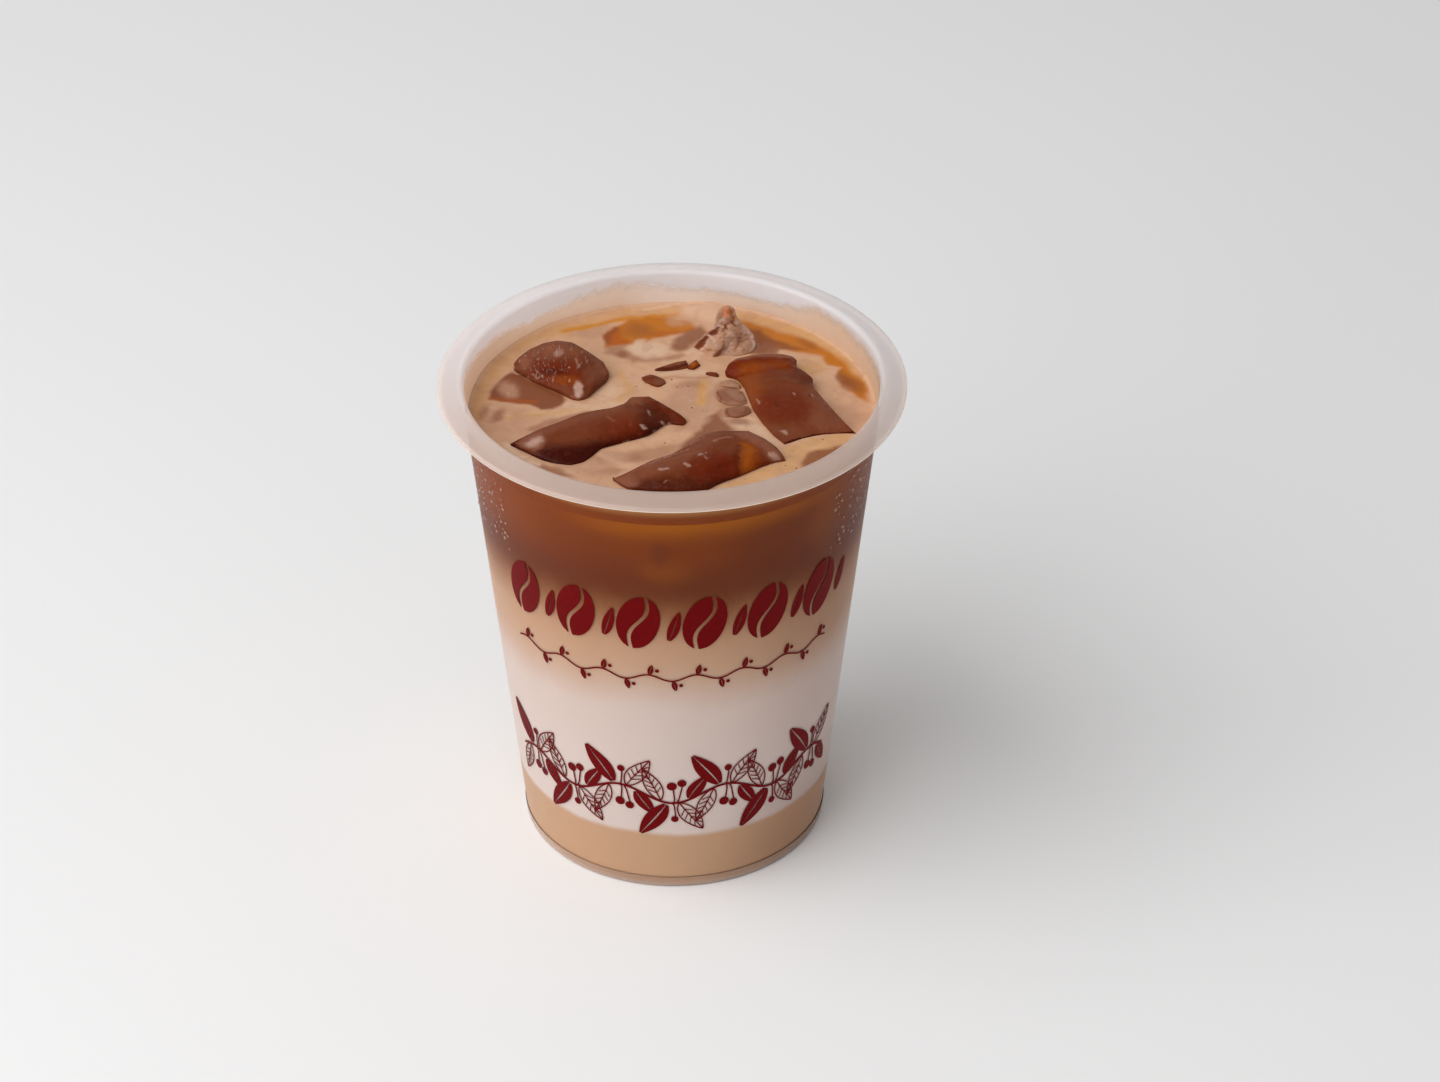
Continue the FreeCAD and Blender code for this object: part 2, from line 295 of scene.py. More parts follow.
class Finish(Paint):
    """A material on the Principled shader. Constants are set on the shader's own sockets."""

    def __init__(self, name, **constants):
        self.material = bpy.data.materials.new(name)
        self.material.use_nodes = True
        super().__init__(self.material.node_tree)
        self.shader = self.tree.nodes["Principled BSDF"]
        for key, value in constants.items():
            self.shader.inputs[key.replace("_", " ")].default_value = value

    def set(self, key, value):
        """Feeds an input of the shader."""
        self.feed(self.shader.inputs[key], value)

    def place(self):
        """Where a point is on the object, in millimetres."""
        coordinates = self.out(self.node("ShaderNodeTexCoord"), "Object")
        return self.out(self.node("ShaderNodeVectorMath", {"operation": "SCALE"},
                                  {0: coordinates, "Scale": 1 / MM}))

    def across(self, x, y):
        """Distance from the cup's axis."""
        return self.math("SQRT", x * x + y * y)

    def attribute(self, name):
        """A value that the mesh carries at each point."""
        return self.out(self.node("ShaderNodeAttribute", {"attribute_name": name}), "Fac")

    def mix(self, factor, first, second):
        """A colour between two colours."""
        settings = {"data_type": "RGBA", "clamp_factor": True}
        return self.out(self.node("ShaderNodeMix", settings, {0: factor, 6: first, 7: second}), 2)

    def step(self, value, low, high):
        """A smooth step from 0 at low to 1 at high."""
        settings = {"interpolation_type": "SMOOTHSTEP"}
        return self.out(self.node("ShaderNodeMapRange", settings, {0: value, 1: low, 2: high}))

    def noise(self, place, grain, detail=3.0, roughness=0.5, distortion=0.0):
        """Soft noise whose lumps are about that many millimetres across."""
        return self.out(self.node("ShaderNodeTexNoise", inputs={
            "Vector": place, "Scale": 1 / grain, "Detail": detail, "Roughness": roughness,
            "Distortion": distortion}))

    def ramp(self, value, stops):
        """A colour from a list of (place, colour) stops."""
        made = self.node("ShaderNodeValToRGB", inputs={0: value})
        band = made.color_ramp
        band.interpolation = "B_SPLINE"
        while len(band.elements) < len(stops):
            band.elements.new(1.0)
        for element, (spot, colour) in zip(band.elements, stops):
            element.position = spot
            element.color = colour
        return self.out(made)

    def tones(self, look, names):
        """The named colours, mixed by the shares that the mesh carries."""
        colour = getattr(look, names[0])
        for name in names[1:]:
            colour = self.mix(self.attribute(name), colour, getattr(look, name))
        return colour

    def bump(self, height, distance):
        """Relief of that many metres for each unit of height."""
        made = self.node("ShaderNodeBump", inputs={"Height": height, "Distance": distance})
        self.set("Normal", self.out(made))


# ---------------------------------------------------------------------------------------------
# Mesh helpers
# ---------------------------------------------------------------------------------------------


def make_piece(name, points, faces, material, smooth=True, attributes=None):
    """A mesh object at the origin from points in millimetres, with its material."""
    mesh = bpy.data.meshes.new(name)
    mesh.from_pydata((np.asarray(points, dtype=float) * MM).tolist(), [], faces)
    for key, values in (attributes or {}).items():
        layer = mesh.attributes.new(key, "FLOAT", "POINT")
        layer.data.foreach_set("value", np.asarray(values, dtype=np.float32))
    tidy_mesh(mesh)
    if smooth:
        mesh.shade_smooth()
        mesh.set_sharp_from_angle(angle=math.radians(50))
    mesh.materials.append(material)
    piece = bpy.data.objects.new(name, mesh)
    bpy.context.scene.collection.objects.link(piece)
    return piece


def tidy_mesh(mesh):
    """Merges doubled points and turns every face outwards."""
    work = bmesh.new()
    work.from_mesh(mesh)
    bmesh.ops.remove_doubles(work, verts=work.verts, dist=1e-7)
    bmesh.ops.dissolve_degenerate(work, edges=work.edges, dist=1e-8)
    bmesh.ops.recalc_face_normals(work, faces=work.faces)
    work.to_mesh(mesh)
    work.free()


def hand_over(piece, slot, *nodes):
    """Rides a finished piece on the body and hides the nodes that it stands for. The slot is not
    used.
    """
    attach(piece, "root")
    if nodes:
        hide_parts(*nodes)


def rounded_profile(corners):
    """Points of a profile whose (radius, height, rounding) corners are turned into arcs."""
    arc_steps = 6
    points = []
    last = len(corners) - 1
    for i, (radius, height, rounding) in enumerate(corners):
        here = Vector((radius, height))
        if rounding == 0 or i in (0, last):
            points.append(here)
            continue
        back = (Vector(corners[i - 1][:2]) - here).normalized()
        ahead = (Vector(corners[i + 1][:2]) - here).normalized()
        half = math.acos(max(-1.0, min(1.0, back.dot(ahead)))) / 2
        centre = here + (back + ahead).normalized() * rounding / math.sin(half)
        start = here + back * rounding / math.tan(half) - centre
        end = here + ahead * rounding / math.tan(half) - centre
        sweep = start.angle_signed(end)
        for step in range(arc_steps + 1):
            points.append(centre + Matrix.Rotation(-sweep * step / arc_steps, 2) @ start)
    return points


def subdivided(points, longest):
    """The same line with no stretch longer than that."""
    line = [points[0]]
    for start, end in zip(points, points[1:]):
        count = max(1, math.ceil((end - start).length / longest))
        line += [start.lerp(end, step / count) for step in range(1, count + 1)]
    return line


def spun(profile, segments):
    """Points and faces of a profile turned about Z, with its ends on the axis."""
    ring = [(math.cos(turn), math.sin(turn))
            for turn in (2 * math.pi * i / segments for i in range(segments))]
    points = [(p.x * c, p.x * s, p.y) for p in profile for c, s in ring]
    faces = []
    for row in range(len(profile) - 1):
        for i in range(segments):
            a = row * segments + i
            b = row * segments + (i + 1) % segments
            faces.append((a, b, b + segments, a + segments))
    return points, faces


def grid_index(shape):
    """The numbers of a grid's points, row by row."""
    return np.arange(shape[0] * shape[1]).reshape(shape[:2])


def grid_quads(index):
    """The four corners of each cell of a grid of numbered points."""
    return np.stack([index[:-1, :-1], index[1:, :-1], index[1:, 1:], index[:-1, 1:]], axis=-1)


def closed_patch(top, under):
    """A closed solid between two grids of points, joined all round their borders."""
    index = grid_index(top.shape)
    lower = index + index.size
    quads = np.stack([grid_quads(index), grid_quads(lower)[..., [0, 3, 2, 1]]], axis=2)
    faces = quads.reshape(-1, 4).tolist()
    ring = [np.concatenate([grid[:-1, 0], grid[-1, :-1], grid[:0:-1, -1], grid[0, :0:-1]])
            for grid in (index, lower)]
    ahead = [np.roll(line, -1) for line in ring]
    faces += np.column_stack([ahead[0], ring[0], ring[1], ahead[1]]).tolist()
    return np.vstack([top.reshape(-1, 3), under.reshape(-1, 3)]), faces


def joined(parts):
    """The points and faces of many meshes as one list of each."""
    points, faces, start = [], [], 0
    for part_points, part_faces in parts:
        points.append(part_points)
        faces += [[start + corner for corner in face] for face in part_faces]
        start += len(part_points)
    return np.vstack(points), faces


def disc_grid(count, radius):
    """A square grid of points bent to fill a disc."""
    line = np.linspace(-1, 1, count)
    a, b = np.meshgrid(line, line, indexing="ij")
    wide = np.abs(a) >= np.abs(b)
    safe_a = np.where(a == 0, 1, a)
    safe_b = np.where(b == 0, 1, b)
    turn = np.where(wide, math.pi / 4 * b / safe_a, math.pi / 2 - math.pi / 4 * a / safe_b)
    reach = np.where(wide, a, b) * radius
    return reach * np.cos(turn), reach * np.sin(turn)


def soft_step(value):
    """A smooth step from 0 to 1 as the value goes from 0 to 1."""
    share = np.clip(value, 0, 1)
    return share * share * (3 - 2 * share)


def warp(x, y, grain, amount, seed):
    """The points moved by soft noise, for outlines that wander."""
    noise.seed_set(NOISE_SEED)
    moved = np.array([noise.noise_vector(Vector((a / grain, b / grain, seed)))
                      for a, b in zip(x, y)])
    return x + moved[:, 0] * amount, y + moved[:, 1] * amount


def line_distance(x, y, line):
    """Distance of points from a line of straight stretches."""
    nearest = np.full(x.shape, np.inf)
    for (x0, y0), (x1, y1) in zip(line, line[1:]):
        dx, dy = x1 - x0, y1 - y0
        along = np.clip(((x - x0) * dx + (y - y0) * dy) / (dx * dx + dy * dy), 0, 1)
        nearest = np.minimum(nearest, np.hypot(x - x0 - along * dx, y - y0 - along * dy))
    return nearest


def is_inside(x, y, outline):
    """Which points an outline goes round."""
    inside = np.zeros(x.shape, dtype=bool)
    for (x0, y0), (x1, y1) in zip(outline, outline[1:] + outline[:1]):
        crosses = (y0 > y) != (y1 > y)
        reach = x0 + (y - y0) * (x1 - x0) / ((y1 - y0) or 1e-9)
        inside ^= crosses & (x < reach)
    return inside


class Wash:
    """Tones laid over each other on points. A mesh carries how far each covers those before it."""

    def __init__(self, x, y, ground):
        self.x, self.y = x, y
        self.shares = {ground: np.ones_like(x)}

    def lay(self, tone, cover):
        """Lays a tone over all the others."""
        for under in self.shares:
            self.shares[under] = self.shares[under] * (1 - cover)
        self.shares[tone] = self.shares.get(tone, 0.0) + cover

    def spot(self, tone, middle, half, turn, soft, strength):
        """Lays an oval. Softness is a share of its size."""
        c, s = math.cos(math.radians(turn)), math.sin(math.radians(turn))
        dx, dy = self.x - middle[0], self.y - middle[1]
        far = np.hypot((dx * c + dy * s) / half[0], (dy * c - dx * s) / half[1])
        self.lay(tone, strength * soft_step((1 + soft / 2 - far) / soft))

    def area(self, tone, outline, soft, strength):
        """Lays what an outline goes round. Softness is in millimetres."""
        away = line_distance(self.x, self.y, outline + outline[:1])
        away = np.where(is_inside(self.x, self.y, outline), -away, away)
        self.lay(tone, strength * soft_step(0.5 - away / soft))

    def stroke(self, tone, line, width, soft, strength):
        """Lays a line of that width. Width and softness are in millimetres."""
        away = line_distance(self.x, self.y, line) - width / 2
        self.lay(tone, strength * soft_step(0.5 - away / soft))

    def paint(self, marks):
        """Lays a list of marks, each the name of a way to lay and what it takes."""
        for way, *details in marks:
            getattr(self, way)(*details)

    def covers(self, tones):
        """How far each tone covers the ones before it, for a chain of mixes in that order."""
        total = np.zeros_like(self.x)
        found = {}
        for tone in tones:
            share = self.shares.get(tone, 0.0)
            total = total + share
            found[tone] = share / np.maximum(total, 1e-6)
        return found


# ---------------------------------------------------------------------------------------------
# Cup
# ---------------------------------------------------------------------------------------------


def cup_profile():
    """The cup's section: recessed base, foot ring, wall, hollow flange and back down inside."""
    under_flange = LIP_HEIGHT - FLANGE_THICK
    corners = [
        (0.0, RECESS, 0.0),
        (FOOT_RADIUS - FOOT_RING, RECESS, 0.3),
        (FOOT_RADIUS - FOOT_RING, 0.0, 0.25),
        (FOOT_RADIUS, 0.0, 0.9),
        (outer_radius(under_flange), under_flange, 0.5),
        (RIM_RADIUS - SKIRT_THICK, SKIRT_TOP - FLANGE_THICK, 0.0),
        (RIM_RADIUS - SKIRT_THICK, SKIRT_FOOT, 0.08),
        (RIM_RADIUS, SKIRT_FOOT, 0.2),
        (RIM_RADIUS, SKIRT_TOP, 0.5),
        (inner_radius(LIP_HEIGHT), LIP_HEIGHT, 1.0),
        (inner_radius(FLOOR_TOP), FLOOR_TOP, 2.0),
        (0.0, FLOOR_TOP, 0.0),
    ]
    return subdivided(rounded_profile(corners), longest=3.0)


def frosted_plastic(look):
    """Frosted plastic: a thin veil over the drink, and milky where nothing is behind it."""
    paint = Finish("frosted_plastic", Roughness=0.4, IOR=1.49, Subsurface_Weight=0.8,
                   Subsurface_Scale=0.004, Emission_Strength=0.3)
    paint.shader.inputs["Subsurface Radius"].default_value = (1.0, 0.85, 0.75)
    place = paint.place()
    x, y, z = paint.split(place)
    across = paint.across(x, y)
    front = paint.step(y, 44.0, -44.0)
    bare = LEVEL - 0.2 + paint.step(y, 0.0, -20.0) * 2.3
    above = paint.step(z - bare, 0.0, 1.1)
    foot = paint.step(z, 2.75, 2.55)
    cloud = paint.noise(place, 9.0, detail=4.0)
    grain = paint.noise(place, 0.35, detail=2.0)
    dry = look.dry_haze - look.haze + (cloud - 0.5) * 0.1
    paint.set("Alpha", look.haze + dry * above + 0.95 * foot)
    # Painted highlight: a bright line along the skirt's lower edge, in its colour and as a glow.
    painted_rim_highlight = paint.step(z, SKIRT_FOOT + 0.3, SKIRT_FOOT + 0.14) * paint.step(across, 46.2, 46.8)
    # Painted shade: the front of the cup is painted darker and warmer than the back.
    colour = paint.mix(front, look.plastic, look.warmed)
    low = paint.mix(paint.step(z, 2.2, 0.5) * 0.5, look.foot, look.warmed)
    # Painted shade: the foot is darker towards the right, away from the lamp.
    low = paint.mix(paint.step(x, 4.0, 30.0) * 0.3, low, look.dim)
    colour = paint.mix(foot, colour, low)
    paint.set("Base Color", paint.mix(painted_rim_highlight, colour, look.edge))
    # Painted light: the left side glows, most on the inside faces, for lamp light that comes
    # through the wall.
    inside = paint.step(across, 44.0, 42.6) * 0.36 + 0.12
    lit = paint.mix(paint.step(x, -8.0, -44.0) * inside, BLACK, look.plastic)
    paint.set("Emission Color", paint.mix(painted_rim_highlight, lit, look.edge))
    paint.set("Roughness", 0.40 + (cloud - 0.5) * 0.16)
    paint.bump(grain * 0.6 + cloud, 0.00003)
    return paint.material


class LATTE_OT_cup(bpy.types.Operator):
    """Turns the cup's section and gives it the frosted finish"""
    bl_idname = "latte.cup"
    bl_label = "Cup"

    def execute(self, context):
        look = context.scene.latte_cup
        points, faces = spun(cup_profile(), look.segments)
        piece = make_piece("frosted_cup", points, faces, frosted_plastic(look))
        hand_over(piece, "cup", "cup")
        return {"FINISHED"}


# ---------------------------------------------------------------------------------------------
# Drink
# ---------------------------------------------------------------------------------------------


def drink_liquid(look):
    """Milk over a tan base, stained upwards by coffee, with soft clouds where they meet."""
    paint = Finish("layered_drink", Roughness=0.4, Specular_IOR_Level=0.08,
                   Sheen_Weight=0.05, Sheen_Roughness=0.35)
    paint.shader.inputs["Sheen Tint"].default_value = srgb(255, 236, 228)
    place = paint.place()
    z = paint.split(place)[2]
    wide = paint.stretched(place, 1.0, 1.0, 0.5)
    drift = paint.noise(wide, 24.0, distortion=0.3)
    curl = paint.noise(wide, 5.0, distortion=0.8)
    lift = paint.attribute("lift")
    height = z + (drift - 0.5) * 7.0 + (curl - 0.5) * 2.0 + lift
    share = (height - FLOOR_TOP) / (LEVEL - FLOOR_TOP)

    def at(level):
        return (level - FLOOR_TOP) / (LEVEL - FLOOR_TOP)

    upper = paint.ramp(share, [
        (at(MILK_TOP - 5.0), look.milk),
        (at(MILK_TOP + 4.0), look.stained),
        (at(MILK_TOP + 13.0), look.stained),
        (at(LATTE_TOP - 6.0), look.latte),
        (at(LATTE_TOP - 0.5), look.shade),
        (at(LATTE_TOP + 5.0), look.shade),
        (at(LATTE_TOP + 12.0), look.coffee),
        (at(LEVEL), look.coffee),
    ])
    # Painted glow: amber near the top of the coffee, for light that comes down through it.
    upper = paint.mix(paint.attribute("ember"), upper, look.amber)
    lower = paint.step(z + (drift - 0.5) * 2.0, BASE_TOP + 1.0, BASE_TOP - 0.8)
    colour = paint.mix(lower, upper, look.base)
    # Painted shade on the right side, and darker patches at the front and left, darken the drink
    # towards the shade colour.
    paint.set("Base Color", paint.mix(paint.attribute("dusk"), colour, look.shade))
    return paint.material


# Marks on the drink's side, on a sheet of millimetres round it from the front and heights.
# Darkening spots centred on the right side are painted shade; those at the front and on the left
# are darker patches of drink. The amber spots are painted glow.
SIDE_MARKS = [
    ("spot", "dusk", (-2.2, 89.0), (1.8, 2.8), 0, 0.9, 0.75),
    ("spot", "ember", (-1.5, 84.5), (4.6, 3.0), 0, 1.6, 0.14),
    ("spot", "dusk", (24.0, 87.0), (13.0, 9.0), 10, 1.2, 0.6),
    ("spot", "ember", (8.0, 96.0), (22.0, 3.4), 0, 1.4, 0.5),
    ("spot", "ember", (36.0, 88.0), (5.0, 6.0), 20, 1.6, 0.25),
    ("spot", "dusk", (44.0, 84.0), (9.0, 9.0), 0, 1.2, 0.4),
    ("spot", "dusk", (-12.0, 80.5), (16.0, 2.6), -4, 1.2, 0.45),
    ("spot", "dusk", (-20.0, 90.0), (9.0, 4.0), -12, 1.6, 0.3),
    ("spot", "dusk", (40.0, 40.0), (16.0, 46.0), 0, 1.6, 0.15),
    ("spot", "dusk", (46.0, 6.0), (30.0, 15.0), 0, 1.4, 0.3),
    ("spot", "dusk", (46.0, 63.0), (26.0, 8.0), 0, 1.4, 0.2),
    ("spot", "dusk", (10.0, 92.5), (20.0, 2.4), 0, 1.4, 0.35),
]


class LATTE_OT_drink(bpy.types.Operator):
    """Fills the cup to just under the surface, reaching into the wall"""
    bl_idname = "latte.drink"
    bl_label = "Drink"

    def execute(self, context):
        foot = FLOOR_TOP - BITE
        corners = [
            (0.0, foot, 0.0),
            (inner_radius(foot) + BITE, foot, 1.8),
            (inner_radius(BODY_TOP) + BITE, BODY_TOP, 0.0),
            (0.0, BODY_TOP, 0.0),
        ]
        profile = subdivided(rounded_profile(corners), longest=1.2)
        points, faces = spun(profile, context.scene.latte_cup.segments)
        x, y, z = np.array(points).T
        round_front = np.arctan2(x, -y) * inner_radius(LEVEL)
        side = Wash(round_front, z, "plain")
        side.paint(SIDE_MARKS)
        shares = {key: side.shares[key] for key in ("dusk", "ember")}
        shares["lift"] = 3.0 * soft_step(np.abs(round_front) / 50) - 1.5
        material = drink_liquid(context.scene.latte_drink)
        piece = make_piece("drink_body", points, faces, material, attributes=shares)
        hand_over(piece, "milk", "base_layer", "milk_layer", "latte_layer")
        return {"FINISHED"}


# ---------------------------------------------------------------------------------------------
# Ice: where each block lies and how it is shaped
# ---------------------------------------------------------------------------------------------

# Shapes and marks on the ice and the surface are drawn on one slanting sheet. A point on the
# level is at its own X and Y, and a point over the level is as much further back as SLANT says.
SLANT = 1.514


class Block:
    """A block of ice. Its front edge is (X, Y) on the sheet, just over the level. The others are
    (X, Y, height over the level): the back from left to right, and what each side has between
    the front and the back."""

    front_height = 0.1
    cell = 0.26  # from one point to the next
    chip_depth = 0.8

    def __init__(self, front, right, back, left, crown, seed, marks, rough=0.25, frost=(),
                 node=None):
        self.node = node
        front = [(x, y, self.front_height) for x, y in front]
        right = [front[-1], *right, back[-1]]
        left = [front[0], *left, back[0]]
        self.edges = [np.array(edge, dtype=float) for edge in (front, right, back, left)]
        self.crown = crown
        self.rough = rough
        self.marks = marks
        self.frost = frost
        self.seed = seed

    @staticmethod
    def steps(edge):
        """The lengths of an edge's stretches on the sheet."""
        return np.hypot(*np.diff(edge[:, :2], axis=0).T)

    def even(self, edge, count):
        """The edge as that many evenly spread points on a smooth line."""
        steps = np.concatenate([[0], np.cumsum(self.steps(edge))])
        at = np.linspace(0, steps[-1], count)
        line = np.column_stack([np.interp(at, steps, edge[:, k]) for k in range(3)])
        smooth = line.copy()
        for _ in range(6):
            smooth[1:-1] = (smooth[:-2] + 2 * smooth[1:-1] + smooth[2:]) / 4
        return smooth

    def count(self, *edges):
        """How many points the longest of the edges needs."""
        return max(12, round(max(self.steps(edge).sum() for edge in edges) / self.cell))

    def sheet(self):
        """A grid of sheet places and heights, blended from the four edges and crowned."""
        front, right, back, left = self.edges
        across, along = self.count(front, back), self.count(left, right)
        front, back = self.even(front, across), self.even(back, across)
        left, right = self.even(left, along), self.even(right, along)
        u = np.linspace(0, 1, across)[:, None, None]
        v = np.linspace(0, 1, along)[None, :, None]
        grid = (1 - v) * front[:, None] + v * back[:, None] + (1 - u) * left[None] + u * right[None]
        grid -= ((1 - u) * (1 - v) * left[0] + u * (1 - v) * right[0]
                 + (1 - u) * v * left[-1] + u * v * right[-1])
        inner = (4 * u * (1 - u))[..., 0] ** 0.35 * (4 * v * (1 - v))[..., 0] ** 0.5
        grid[..., 2] += self.crown * inner
        for place in grid.reshape(-1, 3):
            spot = Vector((place[0] + self.seed, place[1], self.seed))
            fade = min(1.0, max(place[2], 0.1))
            place[2] += fade * (noise.noise(spot / 4.5) * self.rough
                                + noise.noise(spot / 1.5) * self.rough * 0.35
                                + noise.noise(spot / 0.6) * self.rough * 0.12)
        return grid

    def mesh(self):
        """Points and faces of the block in the cup, and its top's places on the sheet."""
        grid = self.sheet()
        top = grid.copy()
        top[..., 1] -= SLANT * grid[..., 2]
        top[..., 2] += LEVEL
        under = top.copy()
        middle = top.reshape(-1, 3).mean(axis=0)
        under[..., :2] = middle[:2] + (under[..., :2] - middle[:2]) * 0.9
        under[..., 2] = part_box(self.node)[0][2] / MM if self.node else LEVEL - self.chip_depth
        points, faces = closed_patch(top, under)
        places = grid.reshape(-1, 3)
        return points, faces, np.vstack([places, places])

    def shares(self, places):
        """How far each tone of ice covers those before it, and where the ice is dull."""
        x, y = warp(places[:, 0], places[:, 1], grain=1.6, amount=0.35, seed=self.seed)
        x, y = warp(x, y, grain=0.5, amount=0.25, seed=self.seed)
        tones = Wash(x, y, "body")
        tones.paint(self.marks)
        found = tones.covers(ICE_TONES)
        frosted = Wash(x, y, "plain")
        frosted.lay("dull", np.zeros_like(x))
        frosted.paint(self.frost)
        found["dull"] = frosted.shares["dull"]
        return found


